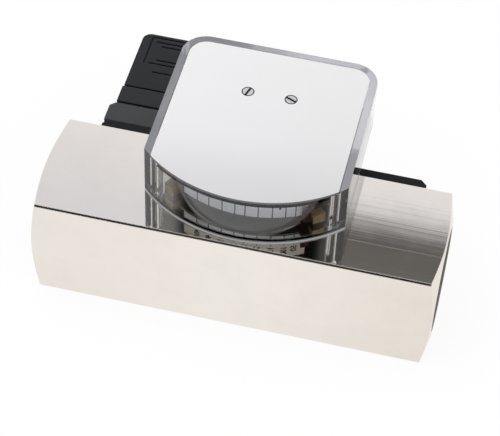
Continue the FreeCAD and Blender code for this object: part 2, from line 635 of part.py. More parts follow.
def piston_set():
    """Piston with its magnet and clip, and the return spring behind it."""
    bore = "(rod_radius + run_gap)"
    tail = f"({SPRING_START} + tube_tail)"
    keep_in_pipe(turned("plunger", "X", PIPE, [
        (HEAD, bore), (HEAD, "head_radius"), (f"{HEAD} + head_thickness", "head_radius"),
        (f"{HEAD} + head_thickness", "tube_radius"), (f"{MAGNET} - collar_thickness", "tube_radius"),
        (f"{MAGNET} - collar_thickness", "collar_radius"), (MAGNET, "collar_radius"),
        (MAGNET, "tube_radius"), (tail, "tube_radius"), (tail, bore)]), "piston")
    seat = "(tube_radius + seat_gap)"
    for label, face, length, radius in (
            ("piston_magnet", MAGNET, "magnet_length", "magnet_radius"),
            ("magnet_clip", CLIP, "clip_thickness", "clip_radius")):
        keep_in_pipe(turned(label + "_ring", "X", PIPE, [
            (face, seat), (face, radius), (f"{face} + {length}", radius),
            (f"{face} + {length}", seat)]), label)
    lift = "(wire_radius + spring_gap)"
    length = f"({SPRING_END} - {SPRING_START} - 2*{lift})"
    rise = f"({length}/{2*SPRING_HALF_TURNS})"
    tilt = f"atan({rise}/coil_radius)"
    half_turns = []
    for number in range(SPRING_HALF_TURNS):
        sign = -1 if number % 2 else 1
        coil = doc.addObject("Part::Torus", f"half_turn_{number}")
        coil.Angle3 = 180
        bind(coil, Radius1=f"sqrt(coil_radius^2 + {rise}^2)", Radius2="wire_radius")
        middle = f"vector({SPRING_START} + {lift} + {2*number + 1}*{rise}; 0; {AXIS})"
        lean = f"rotation(vector(0; 1; 0); 90 deg + {sign}*{tilt})"
        side = f"rotation(vector(0; 0; 1); {90 - sign*90})"
        half_turns.append(bind(coil, Placement=f"placement({middle}; {lean}*{side})"))
    keep_in_pipe(fuse("spring_coil", *half_turns), "return_spring")


def cover_plan(name, inset, front, z, height):
    """The cover's outline, set in from its sides and back, with its own front radius."""
    half = f"(cover_width/2 - {inset})"
    back = f"(cover_back - {inset})"
    corner = f"(cover_corner - {inset})"
    start = "(pivot_y - cover_front_radius - cover_wall)"
    body = block(name + "_body", (f"display_offset - {half}", f"2*{half}"),
                 (start, f"{back} - {corner} - {start}"), (z, height))
    strip = block(name + "_strip", (f"display_offset - {half} + {corner}", f"2*({half} - {corner})"),
                  (f"{back} - {corner}", corner), (z, height))
    rounds = [rod(f"{name}_corner_{number}", "Z",
                  (f"display_offset + {sign}*({half} - {corner})", f"{back} - {corner}", z),
                  height, corner) for number, sign in enumerate((-1, 1))]
    arc = rod(name + "_front", "Z", ("display_offset", "pivot_y", z), height, front)
    return common(name + "_plan", fuse(name + "_shape", body, strip, *rounds), arc)


def cover_screw_points():
    """Places of the two hidden screws, in the cover's solid front corners."""
    return [(f"display_offset + {sign}*({WALL_X} - cover_screw_inset)",
             f"{CORNER_Y} + cover_screw_set_back") for sign in (-1, 1)]


def scale_post_points():
    """Places of the two posts under the scale's sheet."""
    return [point_about_pivot("scale_post_circle", side)
            for side in ("-scale_post_angle", "scale_post_angle")]


def clear_cover():
    """Clear cap with solid front corners, its seal on the bar and its roof plate."""
    outside = cover_plan("cover_outside", "0", "cover_front_radius", FOOT, f"({COVER_TOP} - {FOOT})")
    room = cover_plan("cover_inside", "cover_wall", "(cover_front_radius - cover_wall)",
                      FOOT, f"({ROOF_UNDER} - {FOOT})")
    columns = [rod(f"cover_column_{number}", "Z", (f"display_offset + {sign}*{WALL_X}", CORNER_Y, FOOT),
                   f"({ROOF_UNDER} - {FOOT})", "column_radius") for number, sign in enumerate((-1, 1))]
    inside = cut("cover_room", room, *columns)
    recess = cover_plan("cover_recess", "rim_width", "(cover_front_radius + cover_wall)",
                        ROOF_TOP, "plate_thickness")
    holes = [rod(f"roof_hole_{number}", "Z", (x, "pivot_y", ROOF_UNDER), "roof_thickness",
                 "screw_radius + hole_gap") for number, x in enumerate(pair_x("screw_spacing"))]
    for number, (x, y) in enumerate(cover_screw_points()):
        holes.append(cone(f"cover_sink_{number}", "Z", (x, y, SINK), "cover_screw_sink",
                          "cover_screw_radius + hole_gap", "cover_screw_head + hole_gap"))
        holes.append(rod(f"column_hole_{number}", "Z", (x, y, FOOT), f"({SINK} - {FOOT})",
                         "cover_screw_radius + hole_gap"))
    shell = cut("cap_shell", outside, inside, recess)
    keep(cut("cap", shell, group("cover_holes", *holes)), "clear_cover")

    band = cover_plan("seal_outside", "0", "cover_front_radius", TOP, "seal_thickness")
    gap = cover_plan("seal_inside", "cover_wall", "(cover_front_radius - cover_wall)",
                     TOP, "seal_thickness")
    reach = "(body_side + cover_front_radius)"
    on_bar = block("seal_reach", ("display_offset - cover_width/2", "cover_width"),
                   (f"{BACK} - {reach}", reach), (TOP, "seal_thickness"))
    keep(common("seal_on_bar", cut("seal_band", band, gap), on_bar), "cover_seal")

    sheet_metal = cover_plan("plate_outside", "(rim_width + plate_gap)", "cover_front_radius",
                             ROOF_TOP, "plate_thickness")
    openings = [rod(f"plate_hole_{number}", "Z", (x, "pivot_y", ROOF_TOP), "plate_thickness",
                    "screw_head_radius + plate_hole_gap")
                for number, x in enumerate(pair_x("screw_spacing"))]
    keep(cut("plate", sheet_metal, *openings), "top_plate")


def slotted_head(name, screw, x, y, top, radius, turn):
    """A screw with a straight slot cut across its head, turned about Z."""
    slot = doc.addObject("Part::Box", name + "_slot")
    bind(slot, Length=f"2*({radius})", Width="screw_slot", Height="slot_depth")
    corner_x = f"{x} - ({radius})*cos({turn}) + screw_slot/2*sin({turn})"
    corner_y = f"{y} - ({radius})*sin({turn}) - screw_slot/2*cos({turn})"
    turn_about_z(slot, corner_x, corner_y, f"{top} - slot_depth", turn)
    return cut(name + "_slotted", screw, slot)


def display_fixings():
    """Plate screws, pivot plate and its screws, bearing posts and bridge, front posts, cover screws."""
    screws = []
    posts = []
    sides = zip(("left", "right"), pair_x("screw_spacing"))
    for side, x in sides:
        top = f"({ROOF_TOP} + screw_head_height)"
        shank = "(roof_thickness + bridge_thickness + screw_grip)"
        head = rod(side + "_head", "Z", (x, "pivot_y", ROOF_TOP), "screw_head_height", "screw_head_radius")
        stem = rod(side + "_stem", "Z", (x, "pivot_y", f"{ROOF_TOP} - {shank}"), shank, "screw_radius")
        screw = fuse(side + "_screw", head, stem)
        screws.append(slotted_head(side, screw, x, "pivot_y", top, "screw_head_radius", f"{side}_slot_turn"))
        column = rod(side + "_column", "Z", (x, "pivot_y", BASE_TOP), f"({BRIDGE_UNDER} - {BASE_TOP})",
                     "post_radius")
        spigot = rod(side + "_spigot", "Z", (x, "pivot_y", TOP), "base_thickness", "spigot_radius")
        depth = "(screw_grip + tap_room)"
        thread = rod(side + "_thread", "Z", (x, "pivot_y", f"{BRIDGE_UNDER} - {depth}"), depth,
                     "screw_radius + screw_gap")
        posts.append(cut(side + "_post", fuse(side + "_turned", column, spigot), thread))
    keep(group("slotted_screws", *screws), "plate_screws")
    keep(group("columns", *posts), "bearing_posts")

    plan = cover_plan("base_outside", "(cover_wall + base_gap)", "(cover_front_radius - cover_wall)",
                      TOP, "base_thickness")
    behind = block("base_reach", ("display_offset - cover_width/2", "cover_width"),
                   ("base_front", "cover_back - base_front"), (TOP, "base_thickness"))
    holes = [rod(f"base_spigot_{number}", "Z", (x, "pivot_y", TOP), "base_thickness",
                 "spigot_radius + seat_gap") for number, x in enumerate(pair_x("screw_spacing"))]
    holes.append(rod("base_bush_hole", "Z", ("display_offset", "pivot_y", TOP), "base_thickness",
                     "bush_radius + seat_gap"))
    base_screws = []
    sink = "(base_screw_head - base_screw_radius)"
    for number, x in enumerate(pair_x("base_screw_spacing")):
        at = f"({BASE_TOP} - {sink})"
        holes.append(fuse(
            f"base_sink_{number}",
            rod(f"base_through_{number}", "Z", (x, "base_screw_y", TOP), "base_thickness",
                "base_screw_radius + hole_gap"),
            cone(f"base_cone_{number}", "Z", (x, "base_screw_y", at), sink,
                 "base_screw_radius + hole_gap", "base_screw_head + hole_gap")))
        shank = f"({at} - {TOP} + base_screw_grip)"
        screw = fuse(
            f"base_screw_{number}",
            cone(f"base_head_{number}", "Z", (x, "base_screw_y", at), sink,
                 "base_screw_radius", "base_screw_head"),
            rod(f"base_shank_{number}", "Z", (x, "base_screw_y", f"{TOP} - base_screw_grip"), shank,
                "base_screw_radius"))
        base_screws.append(slotted_head(f"base_{number}", screw, x, "base_screw_y", BASE_TOP,
                                        "base_screw_head", "left_slot_turn"))
    for number, (x, y) in enumerate(scale_post_points()):
        holes.append(rod(f"base_scale_hole_{number}", "Z", (x, y, TOP), "base_thickness",
                         "scale_spigot_radius + seat_gap"))
    apron = rod("apron", "Z", ("display_offset", APRON_Y, TOP), "apron_thickness", "apron_radius")
    solid = fuse("base_blank", common("base_plan", plan, behind), apron)
    keep(cut("base", solid, *holes), "pivot_plate")
    keep(group("base_screws", *base_screws), "pivot_plate_screws")

    bar = middle_block("bridge_bar", ("display_offset", "screw_spacing + 2*bridge_edge"),
                       ("pivot_y", "2*bridge_edge"), (f"{BRIDGE_UNDER} + bridge_thickness/2",
                                                       "bridge_thickness"))
    bores = [rod(f"bridge_hole_{number}", "Z", (x, "pivot_y", BRIDGE_UNDER), "bridge_thickness",
                 "screw_radius + hole_gap") for number, x in enumerate(pair_x("screw_spacing"))]
    bores.append(rod("bridge_bush_hole", "Z", ("display_offset", "pivot_y", BRIDGE_UNDER),
                     "bridge_thickness", "bush_radius + seat_gap"))
    keep(cut("bridge", bar, *bores), "bearing_bridge")

    front = []
    for number, side in enumerate(("-front_post_angle", "front_post_angle")):
        x, y = point_about_pivot(POST_RING, side)
        stop = block_about_pivot(f"front_block_{number}",
                                 (f"({POST_RING} - front_post_depth/2)", "front_post_depth"),
                                 "front_post_width", TOP, "front_post_height", side)
        spigot = rod(f"front_spigot_{number}", "Z", (x, y, f"{TOP} - front_spigot_depth"),
                     "front_spigot_depth", "front_spigot_radius")
        front.append(fuse(f"front_post_{number}", stop, spigot))
    keep(group("front_stops", *front), "front_posts")

    cover_screws = []
    for number, (x, y) in enumerate(cover_screw_points()):
        head = cone(f"cover_head_{number}", "Z", (x, y, SINK), "cover_screw_sink",
                    "cover_screw_radius", "cover_screw_head")
        low = f"({TOP} - cover_screw_grip)"
        shank = rod(f"cover_shank_{number}", "Z", (x, y, low), f"({SINK} - {low})", "cover_screw_radius")
        cover_screws.append(fuse(f"cover_screw_{number}", head, shank))
    keep(group("sunk_screws", *cover_screws), "cover_screws")


def pivot_bushes():
    """Flanged bushes in the bridge and in the pivot plate; the lower one is closed below."""
    pivot = ("display_offset", "pivot_y", "0")
    bore = "(spindle_radius + run_gap)"
    upper = turned("upper_bush", "Z", pivot, [
        (f"{BRIDGE_UNDER} - bush_flange", bore), (f"{BRIDGE_UNDER} - bush_flange", "bush_flange_radius"),
        (BRIDGE_UNDER, "bush_flange_radius"), (BRIDGE_UNDER, "bush_radius"),
        (ROOF_UNDER, "bush_radius"), (ROOF_UNDER, bore)])
    floor = f"({TOP} + bush_floor)"
    lower = turned("lower_bush", "Z", pivot, [
        (TOP, "0"), (TOP, "bush_radius"), (BASE_TOP, "bush_radius"), (BASE_TOP, "bush_flange_radius"),
        (f"{BASE_TOP} + bush_flange", "bush_flange_radius"), (f"{BASE_TOP} + bush_flange", bore),
        (floor, bore), (floor, "0")])
    keep(group("bushes", upper, lower), "pivot_bushes")


def fixed_scale():
    """Scale strip, the sheet behind it and the two posts that hold the sheet."""
    sheet = slice_about_pivot("shelf_outer", f"{STRIP_INNER} - seat_gap", SHELF, "shelf_thickness",
                              "-shelf_reach", "2*shelf_reach")
    holes = [rod("shelf_inner", "Z", ("display_offset", "pivot_y", SHELF), "shelf_thickness", "shelf_inner")]
    posts = []
    for number, (x, y) in enumerate(scale_post_points()):
        stem = rod(f"scale_stem_{number}", "Z", (x, y, BASE_TOP), f"({SHELF} - {BASE_TOP})",
                   "scale_post_radius")
        spigot = rod(f"scale_spigot_{number}", "Z", (x, y, TOP), f"({SHELF} + shelf_thickness - {TOP})",
                     "scale_spigot_radius")
        posts.append(fuse(f"scale_post_{number}", stem, spigot))
        holes.append(rod(f"shelf_hole_{number}", "Z", (x, y, SHELF), "shelf_thickness",
                         "scale_spigot_radius + seat_gap"))
    keep(cut("shelf", sheet, *holes), "scale_carrier")
    keep(group("shelf_posts", *posts), "scale_posts")

    outer = slice_about_pivot("strip_outer", STRIP_OUTER, STRIP_FOOT, "strip_height",
                              "-strip_start", "strip_span")
    inner = rod("strip_inner", "Z", ("display_offset", "pivot_y", STRIP_FOOT), "strip_height", STRIP_INNER)
    keep(cut("strip", outer, inner), "scale_strip")


def pointer_set():
    """Spindle, pointer with a bent tip in front of the scale, follower magnet and counterweight."""
    low = f"({TOP} + bush_floor + spindle_play)"
    pivot = ("display_offset", "pivot_y", low)
    keep(rod("spindle", "Z", pivot, f"({ROOF_UNDER} - spindle_play - {low})", "spindle_radius"),
         "pointer_spindle")

    tip_face = f"({STRIP_OUTER} + tip_gap)"
    arm = block_about_pivot("arm", ("0", f"({tip_face} + arm_thickness)"), "arm_width", ARM,
                            "arm_thickness", "pointer_rest")
    tip = block_about_pivot("tip", (tip_face, "arm_thickness"), "tip_width", ARM, "tip_height",
                            "pointer_rest")
    behind = "(180 + pointer_rest)"
    x, y = point_about_pivot("weight_reach", behind)
    tail = block_about_pivot("tail", ("0", "weight_reach"), "tail_width", ARM, "arm_thickness", behind)
    pad = rod("tail_pad", "Z", (x, y, ARM), "arm_thickness", "weight_radius")
    hub = rod("hub", "Z", ("display_offset", "pivot_y", ARM), "hub_height", "hub_radius")
    bore = rod("hub_bore", "Z", ("display_offset", "pivot_y", ARM), "hub_height",
               "spindle_radius + screw_gap/2")
    keep(cut("pointer_bored", fuse("pointer_blank", arm, tip, tail, pad, hub), bore), "pointer")

    follow_x, follow_y = point_about_pivot("pivot_y", "pointer_rest")
    keep(rod("follower", "Z", (follow_x, follow_y, f"{ARM} - follower_height"), "follower_height",
             "follower_radius"), "follower_magnet")
    keep(rod("weight", "Z", (x, y, ARM_TOP), "weight_height", "weight_radius"), "pointer_counterweight")


def housing_screw_places():
    """Places of the four housing screws along the bar and up."""
    low = f"{HOUSING_LOW} + housing_screw_inset"
    high = f"{HOUSING_LOW} + housing_height - housing_screw_inset"
    return [(x, z) for x in ("housing_screw_left", "housing_screw_right") for z in (low, high)]


def switch_housing():
    """Long box on the back face with its gasket, screws and setting slot."""
    half = "housing_length/2"
    inner = ("-housing_length/2 + housing_end_wall", "housing_length - 2*housing_end_wall")
    shell = padded("box", ("0", "0", HOUSING_LOW), "housing_height", [
        (f"-{half}", HOUSING), (half, HOUSING), (half, f"{HOUSING_BACK} - housing_chamfer"),
        (f"{half} - housing_chamfer", HOUSING_BACK), (f"-{half} + housing_chamfer", HOUSING_BACK),
        (f"-{half}", f"{HOUSING_BACK} - housing_chamfer")])
    channel = block("box_channel", inner, (HOUSING, f"{CHANNEL_BACK} - {HOUSING}"),
                    (CHANNEL_LOW, CHANNEL_HEIGHT))
    slot_half = "(clamp_radius + slot_gap)"
    travel = "(carrier_back_travel + carrier_front_travel)"
    first = "(clamp_place - carrier_back_travel)"
    slot = fuse(
        "setting_slot",
        block("slot_run", (first, travel), (CHANNEL_BACK, "housing_wall"),
              (f"{AXIS} - {slot_half}", f"2*{slot_half}")),
        rod("slot_start", "Y", (first, CHANNEL_BACK, AXIS), "housing_wall", slot_half),
        rod("slot_end", "Y", (f"{first} + {travel}", CHANNEL_BACK, AXIS), "housing_wall", slot_half))
    lead_hole = rod("box_lead_hole", "Y", ("plug_x", CHANNEL_BACK, AXIS), "housing_wall", "lead_hole")
    holes = [slot, lead_hole]
    gasket_holes = []
    screws = []
    for number, (x, z) in enumerate(housing_screw_places()):
        radius = "housing_screw_radius + hole_gap"
        under_head = f"({HOUSING_BACK} - housing_screw_sink - housing_screw_head_height)"
        holes.append(fuse(
            f"box_sink_{number}",
            rod(f"box_hole_{number}", "Y", (x, HOUSING, z), "housing_depth", radius),
            rod(f"box_head_room_{number}", "Y", (x, under_head, z),
                "housing_screw_sink + housing_screw_head_height", "housing_screw_head + hole_gap")))
        gasket_holes.append(rod(f"gasket_hole_{number}", "Y", (x, BACK, z), "gasket_thickness", radius))
        head = rod(f"box_head_{number}", "Y", (x, under_head, z), "housing_screw_head_height",
                   "housing_screw_head")
        tip = f"({BACK} - housing_screw_grip)"
        shank = rod(f"box_shank_{number}", "Y", (x, tip, z), f"({under_head} - {tip})",
                    "housing_screw_radius")
        slot_cut = middle_block(f"box_slot_{number}", (x, "2*housing_screw_head"),
                                (f"{under_head} + housing_screw_head_height", "2*screw_slot"),
                                (z, "screw_slot"))
        screws.append(cut(f"box_screw_{number}", fuse(f"box_turned_{number}", head, shank), slot_cut))
    for number, (x, z) in enumerate(socket_screw_places()):
        holes.append(rod(f"box_socket_hole_{number}", "Y", (x, CHANNEL_BACK, z), "housing_wall",
                         "socket_screw_radius + screw_gap"))
    keep(cut("box_machined", shell, channel, *holes), "switch_housing")
    keep(group("box_screws", *screws), "housing_screws")
    sheet_rubber = block("gasket_sheet", (f"-{half}", "housing_length"), (BACK, "gasket_thickness"),
                         (HOUSING_LOW, "housing_height"))
    opening = block("gasket_opening", inner, (BACK, "gasket_thickness"), (CHANNEL_LOW, CHANNEL_HEIGHT))
    keep(cut("gasket", sheet_rubber, opening, *gasket_holes), "housing_gasket")


def switch_set():
    """Carrier that slides in the housing, with the reed switch, its clamp screw and leads."""
    front = f"({BACK} + carrier_front_gap)"
    back = f"({CHANNEL_BACK} - carrier_back_gap)"
    slab = block("carrier_slab", ("carrier_start", "carrier_length"), (front, f"{back} - {front}"),
                 (f"{CHANNEL_LOW} + carrier_gap", f"{CHANNEL_HEIGHT} - 2*carrier_gap"))
    room = "(reed_length + 2*reed_tail + 2*lead_clear)"
    nest = "(reed_radius + seat_gap)"
    groove = block("carrier_nest", (f"reed_place - {room}/2", room), (front, f"2*{nest}"),
                   (f"{AXIS} - {nest}", f"2*{nest}"))
    thread = rod("carrier_thread", "Y", ("clamp_place", front, AXIS), f"({back} - {front})",
                 "clamp_radius + screw_gap")
    keep(cut("carrier", slab, groove, thread), "switch_carrier")
    middle = f"({front} + {nest})"
    glass = rod("reed_glass", "X", ("reed_place - reed_length/2", middle, AXIS), "reed_length", "reed_radius")
    ends = rod("reed_ends", "X", ("reed_place - reed_length/2 - reed_tail", middle, AXIS),
               "reed_length + 2*reed_tail", "reed_wire")
    keep(fuse("reed", glass, ends), "reed_switch")
    under_head = f"({HOUSING_BACK} + clamp_lift)"
    head = rod("clamp_head", "Y", ("clamp_place", under_head, AXIS), "clamp_head_height", "clamp_head_radius")
    shank = rod("clamp_shank", "Y", ("clamp_place", front, AXIS), f"({under_head} - {front})", "clamp_radius")
    slot = middle_block("clamp_slot", ("clamp_place", "2*clamp_head_radius"),
                        (f"{under_head} + clamp_head_height", "2*clamp_lift + 2*screw_slot"),
                        (AXIS, "2*screw_slot"))
    keep(cut("clamp", fuse("clamp_turned", head, shank), slot), "carrier_screw")

    leads = []
    run_y = f"({CHANNEL_BACK} - lead_bend)"
    nearest = "min(carrier_start; reed_place - reed_length/2 - reed_tail)"
    end = f"({nearest} - carrier_back_travel - lead_clear)"
    beside = "(blade_offset - blade_thickness/2 - lead_radius - seat_gap)"
    for number, (x, z) in enumerate(((f"(plug_x + {beside})", AXIS), ("plug_x", f"{AXIS} + {beside}"))):
        drop = rod(f"lead_drop_{number}", "Y", (x, CHANNEL_BACK, z),
                   f"({SOCKET_FACE} - socket_floor - {CHANNEL_BACK})", "lead_radius")
        bend = doc.addObject("Part::Torus", f"lead_bend_{number}")
        bend.Placement = Placement(Vector(), Rotation(Vector(0, 0, 1), 180))
        bend.Angle3 = 90
        bind(bend, Radius1="lead_bend", Radius2="lead_radius")
        place(bend, f"{x} + lead_bend", CHANNEL_BACK, z)
        run = rod(f"lead_run_{number}", "X", (f"{x} + lead_bend", run_y, z),
                  f"({end} - {x} - lead_bend)", "lead_radius")
        leads.append(fuse(f"lead_{number}", drop, bend, run))
    keep(group("leads", *leads), "switch_leads")


def socket_screw_places():
    """Places of the two connector base screws, on a diagonal."""
    return [(f"plug_x + {sign}*socket_screw_offset", f"{AXIS} - {sign}*socket_screw_offset*0.75")
            for sign in (-1, 1)]


def plug_frame(name, side, y, length):
    """A square block about the plug's axis."""
    return middle_block(name, ("plug_x", side), (f"{y} + ({length})/2", length), (AXIS, side))


def blade_places():
    """Places of the four contact blades across the plug's axis, and which way they lie."""
    return [("plug_x - blade_offset", AXIS, True), ("plug_x + blade_offset", AXIS, True),
            ("plug_x", f"{AXIS} - blade_offset", False), ("plug_x", f"{AXIS} + blade_offset", False)]


def blade(name, x, z, upright, y, length, grow):
    """One flat contact, or the slot round it."""
    thick = f"(blade_thickness + {grow})"
    wide = f"(blade_width + {grow})"
    across = (thick, wide) if upright else (wide, thick)
    return middle_block(name, (x, across[0]), (f"{y} + ({length})/2", length), (z, across[1]))


def connector():
    """Connector base with its boss, blades, screws and the flat gasket round the boss."""
    half = "socket_width/2"
    outline = padded("socket_block", ("0", "0", HOUSING_LOW), "housing_height", [
        (f"plug_x - {half}", HOUSING_BACK), (f"plug_x + {half}", HOUSING_BACK),
        (f"plug_x + {half}", f"{SOCKET_FACE} - socket_chamfer"),
        (f"plug_x + {half} - socket_chamfer", SOCKET_FACE),
        (f"plug_x - {half} + socket_chamfer", SOCKET_FACE),
        (f"plug_x - {half}", f"{SOCKET_FACE} - socket_chamfer")])
    boss = plug_frame("socket_boss", "boss_side", SOCKET_FACE, "boss_height")
    hollow = plug_frame("socket_room", "socket_hollow", HOUSING_BACK, "(socket_depth - socket_floor)")
    slot_start = f"({SOCKET_FACE} - socket_floor)"
    blade_start = f"({slot_start} - blade_tag)"
    blade_length = "(blade_tag + socket_floor + boss_height + blade_reach)"
    tools = []
    blades = []
    screws = []
    for number, (x, z, upright) in enumerate(blade_places()):
        tools.append(blade(f"socket_slot_{number}", x, z, upright, slot_start,
                           "(socket_floor + boss_height)", "2*seat_gap"))
        blades.append(blade(f"blade_{number}", x, z, upright, blade_start, blade_length, "0"))
    sink = "(socket_screw_head - socket_screw_radius)"
    for number, (x, z) in enumerate(socket_screw_places()):
        at = f"({SOCKET_FACE} - {sink})"
        tools.append(fuse(
            f"socket_sink_{number}",
            rod(f"socket_through_{number}", "Y", (x, HOUSING_BACK, z), "socket_depth",
                "socket_screw_radius + hole_gap"),
            cone(f"socket_cone_{number}", "Y", (x, at, z), sink,
                 "socket_screw_radius + hole_gap", "socket_screw_head + hole_gap")))
        shank = f"({at} - {CHANNEL_BACK})"
        screws.append(fuse(
            f"socket_screw_{number}",
            cone(f"socket_head_{number}", "Y", (x, at, z), sink, "socket_screw_radius", "socket_screw_head"),
            rod(f"socket_shank_{number}", "Y", (x, CHANNEL_BACK, z), shank, "socket_screw_radius")))
    keep(cut("socket", fuse("socket_turned", outline, boss), hollow, *tools), "connector_base")
    keep(group("blades", *blades), "contact_blades")
    keep(group("socket_screws", *screws), "connector_base_screws")
    pad = plug_frame("pad_sheet", "skirt_side - 2*edge_break", SOCKET_FACE, "pad_thickness")
    opening = plug_frame("pad_opening", "boss_side + 2*boss_gap", SOCKET_FACE, "pad_thickness")
    keep(cut("pad", pad, opening), "connector_gasket")


def plug_grooves():
    """Moulded frame, two pairs of ribs and a lower line on the plug's upper face."""
    floor = (f"{AXIS} + plug_side/2 - groove_depth", "2*groove_depth")
    end = f"({PLUG_END} - panel_end)"
    start = f"({end} - panel_length)"
    wide = "(plug_side - 2*panel_margin)"
    left = f"(plug_x - {wide}/2)"
    grooves = [
        block("frame_left", (left, "groove_width"), (start, "panel_length"), floor),
        block("frame_right", (f"{left} + {wide} - groove_width", "groove_width"), (start, "panel_length"),
              floor),
        block("frame_far", (left, wide), (f"{end} - groove_width", "groove_width"), floor),
    ]
    first = f"({end} - groove_width - rib_margin)"
    lines = [(first, "rib_length"), (f"{first} - rib_pitch", "short_rib_length"),
             (f"{start} + rib_pitch", "short_rib_length"), (start, "rib_length"),
             (f"{PLUG} + lower_line", "short_rib_length")]
    for number, (y, length) in enumerate(lines):
        grooves.append(block(f"rib_{number}", (f"plug_x - {length}/2", length), (y, "groove_width"), floor))
    return grooves


def plug_hood():
    """The plug's upper housing with its two far corners rounded."""
    half = "plug_side/2"
    hood = padded("hood", ("plug_x", PLUG, f"{AXIS} - {half}"), "plug_side", [
        (f"-{half}", "0"), (half, "0"), (half, "plug_length"), (f"-{half}", "plug_length")])
    doc.recompute()
    pad = hood.Tip
    end = pad.Shape.BoundBox.YMax
    corners = [f"Edge{number}" for number, edge in enumerate(pad.Shape.Edges, start=1)
               if all(abs(vertex.Y - end) < 0.01 for vertex in edge.Vertexes)
               and abs(edge.tangentAt(edge.FirstParameter).z) > 0.99]
    rounding = hood.newObject("PartDesign::Fillet", "hood_rounding")
    rounding.Base = (pad, corners)
    bind(rounding, Radius="plug_round")
    hood.Tip = rounding
    return hood


def plug():
    """Plug housing with its insert and fixing screw."""
    skirt = plug_frame("plug_skirt", "skirt_side", SKIRT, "skirt_length")
    neck = plug_frame("plug_neck", "neck_side", NECK, "neck_length")
    hood = plug_hood()
    flank = f"({PLUG_FLANK} - plug_side/4)"
    neck_end = f"({PLUG_FLANK} + gland_neck)"
    gland = rod("gland_neck", "X", (flank, GLAND_Y, AXIS), f"({neck_end} - {flank})", "gland_radius")
    shell = fuse("plug_shell", skirt, neck, hood, gland)
    boss_room = plug_frame("plug_boss_room", "boss_side + 2*boss_gap", SKIRT, f"({INSERT} - {SKIRT})")
    insert_room = plug_frame("plug_insert_room", "insert_side + 2*insert_gap", INSERT,
                             "insert_length + insert_gap")
    gland_room = rod("gland_room", "X", ("plug_x + insert_side/2 - insert_gap", GLAND_Y, AXIS),
                     f"({neck_end} - plug_x - insert_side/2 + insert_gap)", "gland_bore")
    screw_hole = rod("plug_screw_hole", "Y", ("plug_x", INSERT, AXIS), f"({PLUG_END} - {INSERT})",
                     "plug_screw_radius + hole_gap")
    head_face = f"({PLUG_END} - plug_screw_head_height)"
    head_room = rod("plug_head_room", "Y", ("plug_x", head_face, AXIS), "plug_screw_head_height",
                    "plug_screw_head + hole_gap")
    keep(cut("plug_machined", shell, boss_room, insert_room, gland_room, screw_hole, head_room,
             group("plug_mouldings", *plug_grooves())), "plug_housing")

    solid = plug_frame("insert_solid", "insert_side", INSERT, "insert_length")
    slots = [blade(f"insert_slot_{number}", x, z, upright, INSERT, "(blade_reach + blade_slot_gap)",
                   "2*blade_slot_gap") for number, (x, z, upright) in enumerate(blade_places())]
    way = rod("insert_way", "Y", ("plug_x", INSERT, AXIS), "insert_length", "plug_screw_radius + hole_gap")
    keep(cut("insert", solid, way, *slots), "plug_insert")

    head = rod("plug_screw_top", "Y", ("plug_x", head_face, AXIS), "plug_screw_head_height - edge_break",
               "plug_screw_head")
    shank = rod("plug_screw_shank", "Y", ("plug_x", f"{INSERT}", AXIS), f"({head_face} - {INSERT})",
                "plug_screw_radius")
    slot = middle_block("plug_screw_slot", ("plug_x", "2*plug_screw_head"),
                        (f"{PLUG_END} - edge_break", "2*screw_slot"), (AXIS, "1.6*screw_slot"))
    keep(cut("plug_bolt", fuse("plug_screw_turned", head, shank), slot), "plug_screw")


def cable_gland():
    """Gland nut over the plug's neck, with the washer and rubber that close on a cable."""
    start = f"({PLUG_FLANK} + gland_nut_place)"
    neck_end = f"({PLUG_FLANK} + gland_neck)"
    nut = hexagon("gland_hex", "X", (start, GLAND_Y, AXIS), "gland_nut_length", "gland_nut_flats")
    inside = rod("gland_thread", "X", (start, GLAND_Y, AXIS), "gland_nut_length - gland_nut_end",
                 "gland_radius + hole_gap")
    mouth = rod("gland_hole", "X", (start, GLAND_Y, AXIS), "gland_nut_length", "gland_mouth")
    keep(cut("gland", nut, inside, mouth), "gland_nut")
    washer_face = f"({start} + gland_nut_length - gland_nut_end - gland_washer)"
    disc = rod("washer_disc", "X", (washer_face, GLAND_Y, AXIS), "gland_washer", "gland_bore - seat_gap")
    washer_bore = rod("washer_bore", "X", (washer_face, GLAND_Y, AXIS), "gland_washer", "gland_mouth")
    keep(cut("washer", disc, washer_bore), "gland_washer")
    rubber = rod("rubber_plug", "X", (f"{washer_face} - gland_seal_length", GLAND_Y, AXIS),
                 "gland_seal_length", "gland_bore - seat_gap")
    rubber_bore = rod("rubber_bore", "X", (f"{washer_face} - gland_seal_length", GLAND_Y, AXIS),
                      "gland_seal_length", "gland_seal_bore")
    keep(cut("rubber", rubber, rubber_bore), "gland_seal")


def check_and_write():
    """Every object and every sub-part has to be sound before its file is written."""
    doc.recompute()
    failed = [item.Name for item in doc.Objects if {"Invalid", "Error"} & set(item.State)]
    if failed:
        raise RuntimeError("failed objects: " + ", ".join(failed))
    os.makedirs("parts", exist_ok=True)
    for item in pieces:
        if item.Shape.isNull() or not item.Shape.isValid() or not item.Shape.Solids:
            raise RuntimeError("unsound sub-part: " + item.Label)
    for item in pieces:
        item.Shape.exportStep(f"parts/{item.Label}.step")


meter_body()
metering_sleeve()
guides_and_rod()
piston_set()
clear_cover()
display_fixings()
pivot_bushes()
fixed_scale()
pointer_set()
switch_housing()
switch_set()
connector()
plug()
cable_gland()
check_and_write()
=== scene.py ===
"""Dresses the variable area flow meter: finishes, port threads, scale marks and the studio."""

import math

import bmesh
import bpy
from bpy.props import FloatProperty, FloatVectorProperty, IntProperty, PointerProperty
from mathutils import Matrix, Vector


